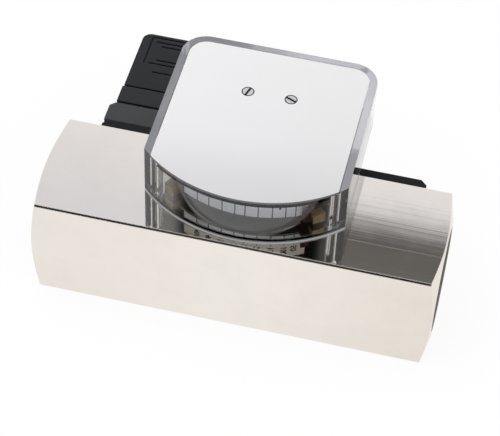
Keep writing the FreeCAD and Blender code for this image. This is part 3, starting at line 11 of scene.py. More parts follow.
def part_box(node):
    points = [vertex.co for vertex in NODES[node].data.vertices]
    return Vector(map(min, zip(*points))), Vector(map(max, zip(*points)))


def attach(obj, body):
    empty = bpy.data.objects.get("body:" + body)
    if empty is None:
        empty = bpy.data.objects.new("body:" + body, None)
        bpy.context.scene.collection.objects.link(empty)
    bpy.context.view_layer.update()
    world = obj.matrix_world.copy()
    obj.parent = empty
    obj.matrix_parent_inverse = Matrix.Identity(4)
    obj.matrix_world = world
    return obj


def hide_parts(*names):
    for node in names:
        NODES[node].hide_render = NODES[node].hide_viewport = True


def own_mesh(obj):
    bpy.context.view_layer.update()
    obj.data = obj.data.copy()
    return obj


bl_info = {
    "name": "Variable area flow meter",
    "version": (1, 0, 0),
    "blender": (4, 5, 0),
    "location": "View3D > Sidebar > Flow meter",
    "description": "Finishes, thread ridges, scale marks and a studio for a piston flow meter",
    "category": "Object",
}

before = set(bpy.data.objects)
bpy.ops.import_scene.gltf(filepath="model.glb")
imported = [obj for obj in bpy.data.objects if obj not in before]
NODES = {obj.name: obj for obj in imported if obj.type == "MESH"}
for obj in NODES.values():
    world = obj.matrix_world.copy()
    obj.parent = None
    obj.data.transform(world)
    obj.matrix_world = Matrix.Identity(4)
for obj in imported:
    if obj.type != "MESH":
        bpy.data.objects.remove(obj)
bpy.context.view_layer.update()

STRIP_LOW, STRIP_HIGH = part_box("scale_strip")
COVER_LOW, COVER_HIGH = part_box("clear_cover")
BODY_LOW, BODY_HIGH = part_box("meter_body")
PIVOT = (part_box("pointer_spindle")[0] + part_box("pointer_spindle")[1]) / 2
STRIP_RADIUS = PIVOT.y - STRIP_LOW.y
COVER_RADIUS = PIVOT.y - COVER_LOW.y
BAR_AXIS_Z = (BODY_LOW.z + BODY_HIGH.z) / 2

# Places where a finish or a painted shade changes.
BRASS_FOOT_TOP = BODY_HIGH.z + 0.0017
SLOT_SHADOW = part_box("plate_screws")[1].z - 0.0002
HOOD_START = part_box("plug_housing")[0].y + 0.0083
PORT_EDGE = (0.0174, 0.0176)
PLATE_FADE = (COVER_LOW.y + 0.03, COVER_LOW.y)
RIM_EDGE = (COVER_HIGH.z - 0.0002, COVER_HIGH.z - 0.0001)
FOOT_EDGE = (COVER_LOW.z + 0.0004, COVER_LOW.z + 0.0006)
RIM_TURN = (-0.006, 0.01)

# Small gaps that keep faces apart, and the share of a font's size that a number fills.
INK_LIFT = 0.00001
THREAD_LIFT = 0.000004
FLOOR_GAP = 0.0002
WELD = 0.0000005
NUMBER_SHARE = 0.7
NUMBER_WEIGHT = 0.03

# The index line's upper and lower end, below the top plate's underside.
INDEX_TOP = 0.0001
INDEX_FOOT = 0.0022

WHITE = (1.0, 1.0, 1.0, 1.0)
FLOOR_HALF = 3.0
LAMP_AIM = (0.0, 0.0, 0.03)

# Tick lines on the strip, in degrees from the front middle line, with the plain number over each.
SCALE_MARKS = (
    (25.9, "50"), (21.2, "100"), (15.0, "150"), (8.5, "200"), (2.4, "250"),
    (-2.4, "300"), (-8.6, "350"), (-15.3, "400"), (-21.6, "450"),
)


def colour(name, description, default):
    """A colour that a user may change."""
    return FloatVectorProperty(name=name, description=description, default=default, size=3,
                               min=0.0, max=1.0, subtype="COLOR")


def length(name, description, default):
    """A length in metres that a user may change."""
    return FloatProperty(name=name, description=description, default=default, min=0.0,
                         precision=5, unit="LENGTH")


class FlowMeterFinish(bpy.types.PropertyGroup):
    """Colours of the meter's finishes."""

    nickel: colour("Nickel", "Polished plating of the square bar", (0.845, 0.8, 0.745))
    plate: colour("Top plate", "Satin plate in the cover's roof", (0.985, 0.98, 0.985))
    acrylic: colour("Cover", "Tint of the clear cover", (0.985, 0.99, 0.99))
    strip: colour("Scale strip", "White of the scale strip", (0.84, 0.87, 0.92))
    band: colour("Number band", "Upper band of the scale strip, with the numbers", (0.85, 0.82, 0.75))
    print_ink: colour("Ink", "Tick lines, numbers and the index line", (0.012, 0.012, 0.014))
    pointer: colour("Pointer", "Dark red paint of the pointer", (0.05, 0.003, 0.0015))
    sheet: colour("Sheet metal", "Matt pivot plate and scale sheet", (0.3, 0.3, 0.295))
    brass: colour("Brass", "Posts, sleeve, guides and piston", (0.76, 0.56, 0.25))
    steel: colour("Steel", "Screws, rod, rings and spring", (0.6, 0.6, 0.61))
    black: colour("Black moulding", "Switch housing and plug", (0.0085, 0.009, 0.0115))
    grey: colour("Grey moulding", "Connector base and insert", (0.034, 0.035, 0.039))
    rubber: colour("Rubber", "Seals and gaskets", (0.018, 0.018, 0.019))


class FlowMeterScale(bpy.types.PropertyGroup):
    """Sizes of the marks on the scale."""

    tick_width: length("Tick width", "Width of a tick line", 0.00034)
    tick_height: length("Tick height", "Tick line from the strip's lower edge", 0.00485)
    digit_height: length("Number height", "Height of the plain numbers", 0.0019)
    digit_gap: length("Number gap", "From a tick's upper end to its number", 0.0004)
    band_height: length("Number band", "Upper band of the strip, from its top", 0.00545)
    ink_thickness: length("Ink thickness", "How far the marks stand on the strip", 0.00004)
    index_angle: FloatProperty(name="Index angle", description="Index line from the front middle line",
                               default=math.radians(17.15), unit="ROTATION")
    index_width: length("Index width", "Width of the index line on the cover", 0.0006)


class FlowMeterThread(bpy.types.PropertyGroup):
    """Sizes of the pipe thread in the ports."""

    pitch: length("Pitch", "Eleven turns to the inch", 0.0254 / 11)
    depth: length("Depth", "Thread depth", 0.00145)
    radius: length("Radius", "Major radius, the port's wall", 0.01662)
    reach: length("Reach", "Threaded length of a port", 0.0181)
    chamfer: length("Chamfer", "Plain chamfer at the mouth", 0.0009)
    steps: IntProperty(name="Steps", description="Mesh steps in one turn", default=64, min=12)


class FlowMeterStudio(bpy.types.PropertyGroup):
    """Light, background and camera."""

    sky: FloatProperty(name="Sky", description="Even light from all round", default=0.62, min=0.0)
    key: FloatProperty(name="Key lamp", description="Soft lamp overhead", default=6.0,
                       min=0.0, unit="POWER")
    fill: FloatProperty(name="Fill lamp", description="Soft lamp from the right", default=1.6,
                        min=0.0, unit="POWER")
    floor: colour("Floor", "Pale floor", (0.93, 0.93, 0.93))
    azimuth: FloatProperty(name="Azimuth", description="Camera's turn to the right of the front",
                           default=math.radians(11.37), unit="ROTATION")
    elevation: FloatProperty(name="Elevation", description="Camera's height above the horizon",
                             default=math.radians(48.77), unit="ROTATION")
    roll: FloatProperty(name="Roll", description="Camera's roll", default=math.radians(2.65),
                        unit="ROTATION")
    lens: FloatProperty(name="Lens", description="Focal length on a 36 mm wide frame", default=136.5,
                        min=1.0, unit="CAMERA")
    place: FloatVectorProperty(name="Place", description="Camera's place", size=3,
                               default=(0.0814, -0.3947, 0.4907), subtype="TRANSLATION")


def add_node(tree, kind, inputs=None, **settings):
    """A shader node with its settings; an input is a value or another node's output."""
    item = tree.nodes.new(kind)
    for name, value in settings.items():
        setattr(item, name, value)
    for name, value in (inputs or {}).items():
        if isinstance(value, bpy.types.NodeSocket):
            tree.links.new(value, item.inputs[name])
        else:
            item.inputs[name].default_value = value
    return item


def scaled(rgb, factor=1.0):
    """A colour made lighter or darker, with full alpha."""
    return (*(min(1.0, channel * factor) for channel in rgb), 1.0)


def streaks(tree, scale, detail=4.0, roughness=0.55):
    """Noise in the part's own metres, drawn out by a scale for each axis."""
    place = add_node(tree, "ShaderNodeTexCoord")
    mapping = add_node(tree, "ShaderNodeMapping", {"Vector": place.outputs["Object"], "Scale": scale})
    noise = add_node(tree, "ShaderNodeTexNoise", {
        "Vector": mapping.outputs["Vector"], "Scale": 1.0, "Detail": detail, "Roughness": roughness})
    return noise.outputs["Fac"]


def spread(tree, value, low, high, start=0.3, end=0.7):
    """A value between start and end, spread from low to high."""
    item = add_node(tree, "ShaderNodeMapRange", {
        "Value": value, "From Min": start, "From Max": end, "To Min": low, "To Max": high})
    return item.outputs["Result"]


def smooth_step(tree, value, start, end):
    """A soft step from 0 at start to 1 at end."""
    item = add_node(tree, "ShaderNodeMapRange", {
        "Value": value, "From Min": start, "From Max": end, "To Min": 0.0, "To Max": 1.0},
        interpolation_type="SMOOTHSTEP")
    return item.outputs["Result"]


def arithmetic(tree, operation, *values):
    """The result of one sum on values or outputs."""
    return add_node(tree, "ShaderNodeMath", dict(enumerate(values)), operation=operation).outputs[0]


def product(tree, *values):
    """Values multiplied together."""
    result = values[0]
    for value in values[1:]:
        result = arithmetic(tree, "MULTIPLY", result, value)
    return result


def tone(tree, share, low, high):
    """A colour between two, each a colour or an output, by a share from 0 to 1."""
    item = add_node(tree, "ShaderNodeMix", {"Factor": share, "A": low, "B": high}, data_type="RGBA")
    return item.outputs["Result"]


def split(tree, vector):
    """The X, Y and Z outputs of a vector."""
    return add_node(tree, "ShaderNodeSeparateXYZ", {"Vector": vector}).outputs


def object_place(tree):
    """A point's X, Y and Z in the part's own metres."""
    return split(tree, add_node(tree, "ShaderNodeTexCoord").outputs["Object"])


def face_normal(tree, kind="Normal"):
    """The X, Y and Z of a face's normal."""
    return split(tree, add_node(tree, "ShaderNodeNewGeometry").outputs[kind])


def relief(tree, value, height, strength, edge=0.0):
    """A bump of the given height in metres, over edges that are softened by a radius."""
    inputs = {"Height": value, "Distance": height, "Strength": strength}
    if edge:
        bevel = add_node(tree, "ShaderNodeBevel", {"Radius": edge}, samples=4)
        inputs["Normal"] = bevel.outputs["Normal"]
    return add_node(tree, "ShaderNodeBump", inputs).outputs["Normal"]


def new_finish(name):
    """A material and its tree and shader."""
    material = bpy.data.materials.new(name)
    material.use_nodes = True
    tree = material.node_tree
    return material, tree, tree.nodes["Principled BSDF"]


def grained(name, rgb, metal, rough, grain, height, edge=0.0, specular=0.5):
    """A finish with its own grain in colour, gloss and relief."""
    material, tree, shader = new_finish(name)
    fine = streaks(tree, grain)
    broad = streaks(tree, (60.0,) * 3, detail=2.0)
    tree.links.new(tone(tree, spread(tree, broad, 0.0, 1.0), scaled(rgb, 0.92), scaled(rgb, 1.08)),
                   shader.inputs["Base Color"])
    tree.links.new(spread(tree, fine, rough * 0.8, rough * 1.25), shader.inputs["Roughness"])
    tree.links.new(relief(tree, fine, height, 0.5, edge), shader.inputs["Normal"])
    shader.inputs["Metallic"].default_value = metal
    shader.inputs["Specular IOR Level"].default_value = specular
    return material


def facing_up(tree):
    """1 where a face looks up, 0 where it stands or looks down."""
    return spread(tree, face_normal(tree, "True Normal")["Z"], 0.0, 1.0, 0.5, 0.8)


def faced(name, rgb, side_rgb, under_rgb, metal, rough, height, front=1.0, floor=0.0):
    """A finish on upper faces above a floor, which may darken to the front as painted shade; sides and
    undersides get flat colours that paint their shade or light.
    """
    material, tree, shader = new_finish(name)
    down = spread(tree, face_normal(tree)["Z"], 1.0, 0.0, -0.8, -0.5)
    # Sides and undersides: flat colours that paint their shade or light.
    painted_side_and_under = tone(tree, down, scaled(side_rgb), scaled(under_rgb))
    fine = streaks(tree, (1800.0,) * 3)
    broad = streaks(tree, (45.0,) * 3, detail=2.0)
    place = object_place(tree)
    up = product(tree, facing_up(tree), arithmetic(tree, "GREATER_THAN", place["Z"], floor))
    # Top faces darken towards the front as painted shade, with a faint random mottle.
    fade = smooth_step(tree, place["Y"], *PLATE_FADE)
    front_shade_and_mottle = arithmetic(tree, "MULTIPLY_ADD", fade, 0.8, product(tree, broad, 0.2))
    bright = tone(tree, front_shade_and_mottle, scaled(rgb), scaled(rgb, front * 0.97))
    tree.links.new(tone(tree, up, painted_side_and_under, bright), shader.inputs["Base Color"])
    tree.links.new(product(tree, up, metal), shader.inputs["Metallic"])
    tree.links.new(spread(tree, fine, rough * 0.92, rough * 1.1), shader.inputs["Roughness"])
    tree.links.new(relief(tree, fine, height, 0.25), shader.inputs["Normal"])
    return material


def banded_strip(rgb, band_rgb):
    """White printed strip with a darker band above, where the numbers are."""
    material, tree, shader = new_finish("white_strip")
    edge = STRIP_HIGH.z - bpy.context.scene.flow_meter_scale.band_height
    above = spread(tree, object_place(tree)["Z"], 0.0, 1.0, edge - 0.00003, edge + 0.00003)
    fine = streaks(tree, (2400.0,) * 3)
    shade = spread(tree, fine, 0.0, 1.0)
    white = tone(tree, shade, scaled(rgb, 0.97), scaled(rgb, 1.03))
    band = tone(tree, shade, scaled(band_rgb, 0.94), scaled(band_rgb, 1.06))
    tree.links.new(tone(tree, above, white, band), shader.inputs["Base Color"])
    tree.links.new(spread(tree, fine, 0.4, 0.5), shader.inputs["Roughness"])
    tree.links.new(relief(tree, fine, 0.000004, 0.4), shader.inputs["Normal"])
    return material


def footed_brass(rgb):
    """Dull brass blocks with painted shade at their feet, a painted highlight on their top faces, and
    darker towards the left.
    """
    material, tree, shader = new_finish("dull_brass")
    place = object_place(tree)
    # Below BRASS_FOOT_TOP each block is painted near black, as shade where it stands on the bar.
    foot = spread(tree, place["Z"], 1.0, 0.0, BRASS_FOOT_TOP - 0.0002, BRASS_FOOT_TOP + 0.0002)
    fine = streaks(tree, (2400.0, 2400.0, 300.0))
    metal = tone(tree, spread(tree, fine, 0.0, 1.0), scaled(rgb, 0.85), scaled(rgb, 1.1))
    # Darker towards the left, and top faces painted up to 1.7 times lighter as a highlight.
    left_dimming = spread(tree, place["X"], 0.45, 1.0, -0.01, 0.01)
    bright = product(tree, left_dimming, spread(tree, facing_up(tree), 1.0, 1.7, 0.0, 1.0))
    face = add_node(tree, "ShaderNodeVectorMath", {0: metal, "Scale": bright}, operation="SCALE")
    tree.links.new(tone(tree, foot, face.outputs[0], scaled(rgb, 0.05)), shader.inputs["Base Color"])
    tree.links.new(spread(tree, fine, 0.32, 0.46), shader.inputs["Roughness"])
    tree.links.new(relief(tree, fine, 0.00001, 0.4, edge=0.0002), shader.inputs["Normal"])
    shader.inputs["Metallic"].default_value = 0.3
    return material


def polished_nickel(rgb):
    """Bright plating, drawn along the bar and turned on its ends, with faint marks; painted dark inside the
    ports as shade.
    """
    material, tree, shader = new_finish("polished_nickel")
    place = object_place(tree)
    height = arithmetic(tree, "SUBTRACT", place["Z"], BAR_AXIS_Z)
    radial = add_node(tree, "ShaderNodeCombineXYZ", {"X": place["Y"], "Y": height})
    reach = add_node(tree, "ShaderNodeVectorMath", {0: radial.outputs[0]},
                     operation="LENGTH").outputs["Value"]
    rings = add_node(tree, "ShaderNodeTexNoise", {"W": reach, "Scale": 3200.0, "Detail": 3.0},
                     noise_dimensions="1D")
    drawn = streaks(tree, (9.0, 2600.0, 2600.0), detail=5.0)
    waves = streaks(tree, (7.0, 330.0, 330.0), detail=3.0, roughness=0.5)
    rubbed = streaks(tree, (5.0, 800.0, 800.0), detail=3.0)
    marks = streaks(tree, (70.0,) * 3, detail=6.0, roughness=0.65)
    ends = spread(tree, arithmetic(tree, "ABSOLUTE", face_normal(tree)["X"]), 0.0, 1.0, 0.5, 0.7)
    lines = add_node(tree, "ShaderNodeMix", {"Factor": ends, "A": drawn, "B": rings.outputs["Fac"]},
                     data_type="FLOAT").outputs["Result"]
    patches = spread(tree, marks, 0.0, 1.0, 0.45, 0.72)
    plating = tone(tree, patches, scaled(rgb), scaled(rgb, 0.965))
    # Inside the port bores the plating is painted at 0.16 of its colour, as shade.
    outside = spread(tree, reach, 0.0, 1.0, *PORT_EDGE)
    tree.links.new(tone(tree, outside, scaled(rgb, 0.16), plating), shader.inputs["Base Color"])
    smear = arithmetic(tree, "MULTIPLY_ADD", patches, 0.03, spread(tree, lines, 0.012, 0.04))
    worn = spread(tree, rubbed, 0.0, 0.04, 0.5, 0.75)
    tree.links.new(arithmetic(tree, "ADD", smear, worn), shader.inputs["Roughness"])
    bumps = arithmetic(tree, "MULTIPLY_ADD", waves, 2.2, lines)
    tree.links.new(relief(tree, bumps, 0.0000026, 0.45, edge=0.0004), shader.inputs["Normal"])
    shader.inputs["Metallic"].default_value = 1.0
    return material


def clear_acrylic(name, rgb, satin_rim):
    """Thick clear plastic with a faint ripple; its rim and its foot may be satin, with a grey tint that is
    darker on the left as a painted reflection.
    """
    material, tree, shader = new_finish(name)
    shader.inputs["Base Color"].default_value = scaled(rgb)
    shader.inputs["IOR"].default_value = 1.49
    ripple = streaks(tree, (220.0, 220.0, 160.0), detail=3.0)
    gloss = spread(tree, ripple, 0.004, 0.02)
    tree.links.new(relief(tree, ripple, 0.000004, 0.4), shader.inputs["Normal"])
    if not satin_rim:
        shader.inputs["Transmission Weight"].default_value = 1.0
        tree.links.new(gloss, shader.inputs["Roughness"])
        return material
    place = object_place(tree)
    rim = spread(tree, place["Z"], 0.0, 1.0, *RIM_EDGE)
    foot = spread(tree, place["Z"], 1.0, 0.0, *FOOT_EDGE)
    satin = arithmetic(tree, "MAXIMUM", rim, foot)
    tree.links.new(spread(tree, satin, 1.0, 0.6, 0.0, 1.0), shader.inputs["Transmission Weight"])
    frost = product(tree, satin, spread(tree, streaks(tree, (45.0,) * 3, detail=1.0), 0.8, 1.0))
    # Grey tint of the satin rim and foot, darker on the left as a painted reflection of a dark room.
    frost_and_painted_shade = tone(tree, smooth_step(tree, place["X"], *RIM_TURN), (0.4, 0.405, 0.445, 1.0),
                (0.6, 0.605, 0.655, 1.0))
    tree.links.new(tone(tree, frost, scaled(rgb), frost_and_painted_shade), shader.inputs["Base Color"])
    tree.links.new(arithmetic(tree, "MULTIPLY_ADD", satin, 0.14, gloss), shader.inputs["Roughness"])
    return material


def moulded_black(rgb):
    """Dark plug moulding: a fine eroded texture on the hood, smoother on its skirt."""
    material, tree, shader = new_finish("moulded_black")
    hood = arithmetic(tree, "GREATER_THAN", object_place(tree)["Y"], HOOD_START)
    grit = streaks(tree, (5200.0,) * 3, detail=3.0)
    broad = streaks(tree, (120.0,) * 3, detail=3.0)
    shade = spread(tree, broad, 0.0, 1.0)
    tree.links.new(tone(tree, shade, scaled(rgb, 0.88), scaled(rgb, 1.16)), shader.inputs["Base Color"])
    textured = spread(tree, grit, 0.42, 0.66)
    gloss = add_node(tree, "ShaderNodeMix", {"Factor": hood, "A": 0.36, "B": textured}, data_type="FLOAT")
    tree.links.new(gloss.outputs["Result"], shader.inputs["Roughness"])
    bumps = product(tree, grit, hood)
    tree.links.new(relief(tree, bumps, 0.00006, 0.6, edge=0.0005), shader.inputs["Normal"])
    shader.inputs["Specular IOR Level"].default_value = 0.36
    return material


class Finishes:
    """The materials, each made once when a step first asks for it."""

    made = {}

    @classmethod
    def get(cls, name):
        if name not in cls.made:
            cls.made[name] = cls.build(name, bpy.context.scene.flow_meter_finish)
        return cls.made[name]

    @staticmethod
    def build(name, tints):
        even = (2400.0,) * 3
        along = (12.0, 2200.0, 2200.0)
        shadow = (0.015, 0.014, 0.014)
        dim = {key: scaled(getattr(tints, key), share)[:3] for key, share in (
            ("brass", 0.8), ("steel", 0.8), ("nickel", 0.35), ("black", 0.6))}
        # Name, colour, metallic, roughness, grain for each axis, relief, softened edge, specular.
        rows = {
            "pointer": ("red_paint", tints.pointer, 0.0, 0.35, even, 0.00001, 0.0001),
            "ink": ("printed_ink", tints.print_ink, 0.0, 0.5, even, 0.000004),
            "sheet": ("matt_sheet", tints.sheet, 0.85, 0.42, along, 0.000006),
            "brass": ("machined_brass", tints.brass, 1.0, 0.24, along, 0.000008, 0.00012),
            "steel": ("bright_steel", tints.steel, 1.0, 0.2, along, 0.000006, 0.00015),
            "screw": ("screw_steel", dim["steel"], 1.0, 0.24, even, 0.000008, 0.0003),
            "seal": ("pale_seal", (0.62, 0.63, 0.65), 0.0, 0.5, even, 0.00001),
            # Thread ridges use the nickel at 0.35, painted dark as shade inside the port bores.
            "thread": ("thread_nickel", dim["nickel"], 1.0, 0.3, along, 0.000006),
            "housing": ("housing_black", dim["black"], 0.0, 0.42, (3600.0,) * 3, 0.00003, 0.0004, 0.2),
            "grey": ("moulded_grey", tints.grey, 0.0, 0.5, (4200.0,) * 3, 0.00004, 0.0004),
            "rubber": ("black_rubber", tints.rubber, 0.0, 0.72, even, 0.00004, 0.0002),
            "magnet": ("dark_ferrite", (0.1, 0.095, 0.1), 0.35, 0.5, (3000.0,) * 3, 0.00004, 0.0003),
            "pale": ("pale_moulding", (0.66, 0.66, 0.63), 0.0, 0.45, even, 0.00002, 0.0003),
            "tin": ("tin_plate", (0.72, 0.71, 0.68), 1.0, 0.28, along, 0.000008, 0.0001),
            "wire": ("wire_sleeve", (0.4, 0.03, 0.025), 0.0, 0.35, even, 0.00001),
        }
        if name in rows:
            return grained(*rows[name])
        makers = {
            "nickel": lambda: polished_nickel(tints.nickel),
            "acrylic": lambda: clear_acrylic("clear_acrylic", tints.acrylic, True),
            "glass": lambda: clear_acrylic("switch_glass", (0.86, 0.93, 0.88), False),
            # Plate: sides painted dark as shade in the gap round it, underside painted pale as light, front
            # painted darker as shade.
            "plate": lambda: faced("satin_plate", tints.plate, (0.12, 0.12, 0.125), (0.85, 0.85, 0.87),
                                   0.75, 0.3, 0.000002, front=0.88),
            # Plate screws: heads painted 1.2 times brighter as a highlight, slots and faces below them
            # painted dark as shade.
            "slotted": lambda: faced("slotted_steel", scaled(tints.steel, 1.2)[:3], shadow, shadow,
                                     1.0, 0.25, 0.000006, floor=SLOT_SHADOW),
            "strip": lambda: banded_strip(tints.strip, tints.band),
            "dull_brass": lambda: footed_brass(dim["brass"]),
            "black": lambda: moulded_black(tints.black),
        }
        return makers[name]()


def dress(finish_name, *names):
    """Give CAD nodes a finish."""
    material = Finishes.get(finish_name)
    for name in names:
        slots = NODES[name].material_slots
        if not slots:
            raise RuntimeError(f"{name} has no material slot")
        for slot in slots:
            slot.material = material


def add_piece(name, mesh, finish_name, body):
    """A new piece in the row frame that moves with a body."""
    piece = bpy.data.objects.new(name, mesh)
    bpy.context.scene.collection.objects.link(piece)
    mesh.materials.append(Finishes.get(finish_name))
    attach(piece, body)
    return piece


def on_arc(radius, angle, z):
    """The point at a radius from the pointer's pivot, at an angle from the front middle line."""
    return Vector((PIVOT.x + radius * math.sin(angle), PIVOT.y - radius * math.cos(angle), z))


def skin(mesh, rows):
    """Faces round and at both ends of a bar whose cross-sections are rows of four points."""
    for first, second in zip(rows, rows[1:]):
        for side in range(4):
            after = (side + 1) % 4
            mesh.faces.new((first[side], first[after], second[after], second[side]))
    mesh.faces.new(rows[0])
    mesh.faces.new(rows[-1][::-1])


def arc_block(mesh, radius, thickness, start, end, low, high, steps=2):
    """A thin block that follows an arc about the pivot, added to a bmesh."""
    rows = []
    for number in range(steps + 1):
        angle = start + (end - start) * number / steps
        corners = ((radius, low), (radius + thickness, low), (radius + thickness, high), (radius, high))
        rows.append([mesh.verts.new(on_arc(reach, angle, z)) for reach, z in corners])
    skin(mesh, rows)


def finished_mesh(name, made):
    """A mesh from a bmesh, with its normals outwards."""
    bmesh.ops.recalc_face_normals(made, faces=made.faces)
    mesh = bpy.data.meshes.new(name)
    made.to_mesh(mesh)
    made.free()
    return mesh


def thread_mesh(name, sizes, sign):
    """One helical ridge inside a port, low at both ends; sign is the port's side along X."""
    made = bmesh.new()
    turns = (sizes.reach - sizes.pitch) / sizes.pitch
    count = int(turns * sizes.steps)
    mouth = BODY_HIGH.x - sizes.chamfer
    axis = Vector((0.0, 0.0, BAR_AXIS_Z))
    wall = sizes.radius - THREAD_LIFT
    profile = ((-0.46, 0.0), (-0.1, 1.0), (0.1, 1.0), (0.46, 0.0))
    rows = []
    for number in range(count + 1):
        angle = 2 * math.pi * number / sizes.steps
        fade = min(1.0, number / sizes.steps * 2, (count - number) / sizes.steps * 2)
        depth = sizes.depth * max(0.03, fade)
        place = mouth - sizes.pitch * (0.5 + number / sizes.steps)
        row = []
        for along, share in profile:
            reach = wall - depth * share
            point = (sign * (place + along * sizes.pitch), reach * math.cos(angle),
                     sign * reach * math.sin(angle))
            row.append(made.verts.new(axis + Vector(point)))
        rows.append(row)
    skin(made, rows)
    return finished_mesh(name, made)


def number_mesh(text, sizes, angle):
    """A plain number that reads upwards on the scale strip."""
    curve = bpy.data.curves.new("number_line", "FONT")
    curve.body = text
    curve.size = sizes.digit_height / NUMBER_SHARE
    curve.extrude = sizes.ink_thickness / 2
    curve.offset = sizes.digit_height * NUMBER_WEIGHT
    curve.resolution_u = 3
    writer = bpy.data.objects.new("number_line", curve)
    bpy.context.scene.collection.objects.link(writer)
    bpy.context.view_layer.update()
    shaped = writer.evaluated_get(bpy.context.evaluated_depsgraph_get())
    mesh = bpy.data.meshes.new_from_object(shaped)
    bpy.data.objects.remove(writer)
    bpy.data.curves.remove(curve)
    foot = STRIP_LOW.z + sizes.tick_height + sizes.digit_gap
    face = STRIP_RADIUS + sizes.ink_thickness
    for vertex in mesh.vertices:
        flat = vertex.co.copy()
        turn = (sizes.digit_height / 2 - flat.y) / face
        vertex.co = on_arc(face + flat.z, angle + turn, foot + flat.x)
    return mesh


class FLOWMETER_OT_bar(bpy.types.Operator):
    """Give the square bar its polished plating"""

    bl_idname = "flow_meter.bar"
    bl_label = "Square bar"

    def execute(self, context):
        dress("nickel", "meter_body")
        return {"FINISHED"}


class FLOWMETER_OT_port_threads(bpy.types.Operator):
    """Cut the look of a pipe thread into both ports"""

    bl_idname = "flow_meter.port_threads"
    bl_label = "Port threads"

    def execute(self, context):
        sizes = context.scene.flow_meter_thread
        for name, sign in (("inlet_thread", 1), ("outlet_thread", -1)):
            add_piece(name, thread_mesh(name, sizes, sign), "thread", "meter")
        return {"FINISHED"}


class FLOWMETER_OT_metering_set(bpy.types.Operator):
    """Finish the sleeve, guides and piston in the pipe, and replace the spring with a copy that has its own
    mesh
    """

    bl_idname = "flow_meter.metering_set"
    bl_label = "Metering set"

    def execute(self, context):
        dress("brass", "metering_sleeve", "inlet_guide", "outlet_guide", "piston")
        dress("steel", "guide_rod", "rod_nut", "inlet_retaining_ring", "outlet_retaining_ring",
              "magnet_clip")
        dress("magnet", "piston_magnet")
        dress("rubber", "sleeve_seal")
        mesh = NODES["return_spring"].data.copy()
        mesh.materials.clear()
        coil = add_piece("spring_coil", mesh, "steel", "meter")
        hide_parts("return_spring")
        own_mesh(coil)
        return {"FINISHED"}


class FLOWMETER_OT_display_cover(bpy.types.Operator):
    """Finish the clear cover, its plate and screws, and draw the index line"""

    bl_idname = "flow_meter.display_cover"
    bl_label = "Display cover"

    def execute(self, context):
        sizes = context.scene.flow_meter_scale
        dress("acrylic", "clear_cover")
        dress("plate", "top_plate")
        dress("slotted", "plate_screws")
        dress("screw", "cover_screws")
        dress("seal", "cover_seal")
        made = bmesh.new()
        half = sizes.index_width / 2 / COVER_RADIUS
        plate_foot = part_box("top_plate")[0].z
        arc_block(made, COVER_RADIUS + INK_LIFT, sizes.ink_thickness, sizes.index_angle - half,
                  sizes.index_angle + half, plate_foot - INDEX_FOOT, plate_foot - INDEX_TOP)
        add_piece("index_line", finished_mesh("index_line", made), "ink", "meter")
        return {"FINISHED"}


class FLOWMETER_OT_display_works(bpy.types.Operator):
    """Finish the posts, bridge, bushes and plate that carry the pointer"""

    bl_idname = "flow_meter.display_works"
    bl_label = "Display works"

    def execute(self, context):
        dress("brass", "bearing_posts", "pivot_bushes")
        dress("dull_brass", "front_posts")
        dress("sheet", "pivot_plate", "bearing_bridge")
        dress("screw", "pivot_plate_screws")
        return {"FINISHED"}


class FLOWMETER_OT_scale(bpy.types.Operator):
    """Finish the fixed scale and print tick lines and plain numbers on its strip"""

    bl_idname = "flow_meter.scale"
    bl_label = "Scale"

    def execute(self, context):
        sizes = context.scene.flow_meter_scale
        dress("sheet", "scale_carrier")
        dress("brass", "scale_posts")
        dress("strip", "scale_strip")
        ticks = bmesh.new()
        numbers = bmesh.new()
        half = sizes.tick_width / 2 / STRIP_RADIUS
        for degrees, text in SCALE_MARKS:
            angle = math.radians(degrees)
            arc_block(ticks, STRIP_RADIUS + INK_LIFT, sizes.ink_thickness, angle - half, angle + half,
                      STRIP_LOW.z, STRIP_LOW.z + sizes.tick_height)
            mesh = number_mesh(text, sizes, angle)
            numbers.from_mesh(mesh)
            bpy.data.meshes.remove(mesh)
        bmesh.ops.remove_doubles(numbers, verts=numbers.verts, dist=WELD)
        for name, made in (("scale_ticks", ticks), ("scale_numbers", numbers)):
            add_piece(name, finished_mesh(name, made), "ink", "meter")
        return {"FINISHED"}


class FLOWMETER_OT_pointer(bpy.types.Operator):
    """Finish the pointer, its spindle, its magnet and its counterweight"""

    bl_idname = "flow_meter.pointer"
    bl_label = "Pointer"

    def execute(self, context):
        dress("pointer", "pointer")
        dress("steel", "pointer_spindle")
        dress("brass", "pointer_counterweight")
        dress("magnet", "follower_magnet")
        return {"FINISHED"}


class FLOWMETER_OT_switch_housing(bpy.types.Operator):
    """Finish the switch housing and what slides in it"""

    bl_idname = "flow_meter.switch_housing"
    bl_label = "Switch housing"

    def execute(self, context):
        dress("housing", "switch_housing")
        dress("rubber", "housing_gasket")
        dress("screw", "housing_screws", "carrier_screw")
        dress("pale", "switch_carrier")
        dress("glass", "reed_switch")
        dress("wire", "switch_leads")
        return {"FINISHED"}


class FLOWMETER_OT_plug(bpy.types.Operator):
    """Finish the connector base, the square plug and its cable gland"""

    bl_idname = "flow_meter.plug"
    bl_label = "Plug"

    def execute(self, context):
        dress("black", "plug_housing", "gland_nut")
        dress("grey", "connector_base", "plug_insert")
        dress("rubber", "connector_gasket", "gland_seal")
        dress("pale", "gland_washer")
        dress("tin", "contact_blades")
        dress("screw", "connector_base_screws", "plug_screw")
        return {"FINISHED"}


def seen_directly(tree):
    """1 for rays from the camera, from mirrors and through glass; then 1 for those from the camera."""
    path = add_node(tree, "ShaderNodeLightPath").outputs
    mirrored = arithmetic(tree, "MAXIMUM", path["Is Camera Ray"], path["Is Glossy Ray"])
    return arithmetic(tree, "MAXIMUM", mirrored, path["Is Transmission Ray"]), path["Is Camera Ray"]


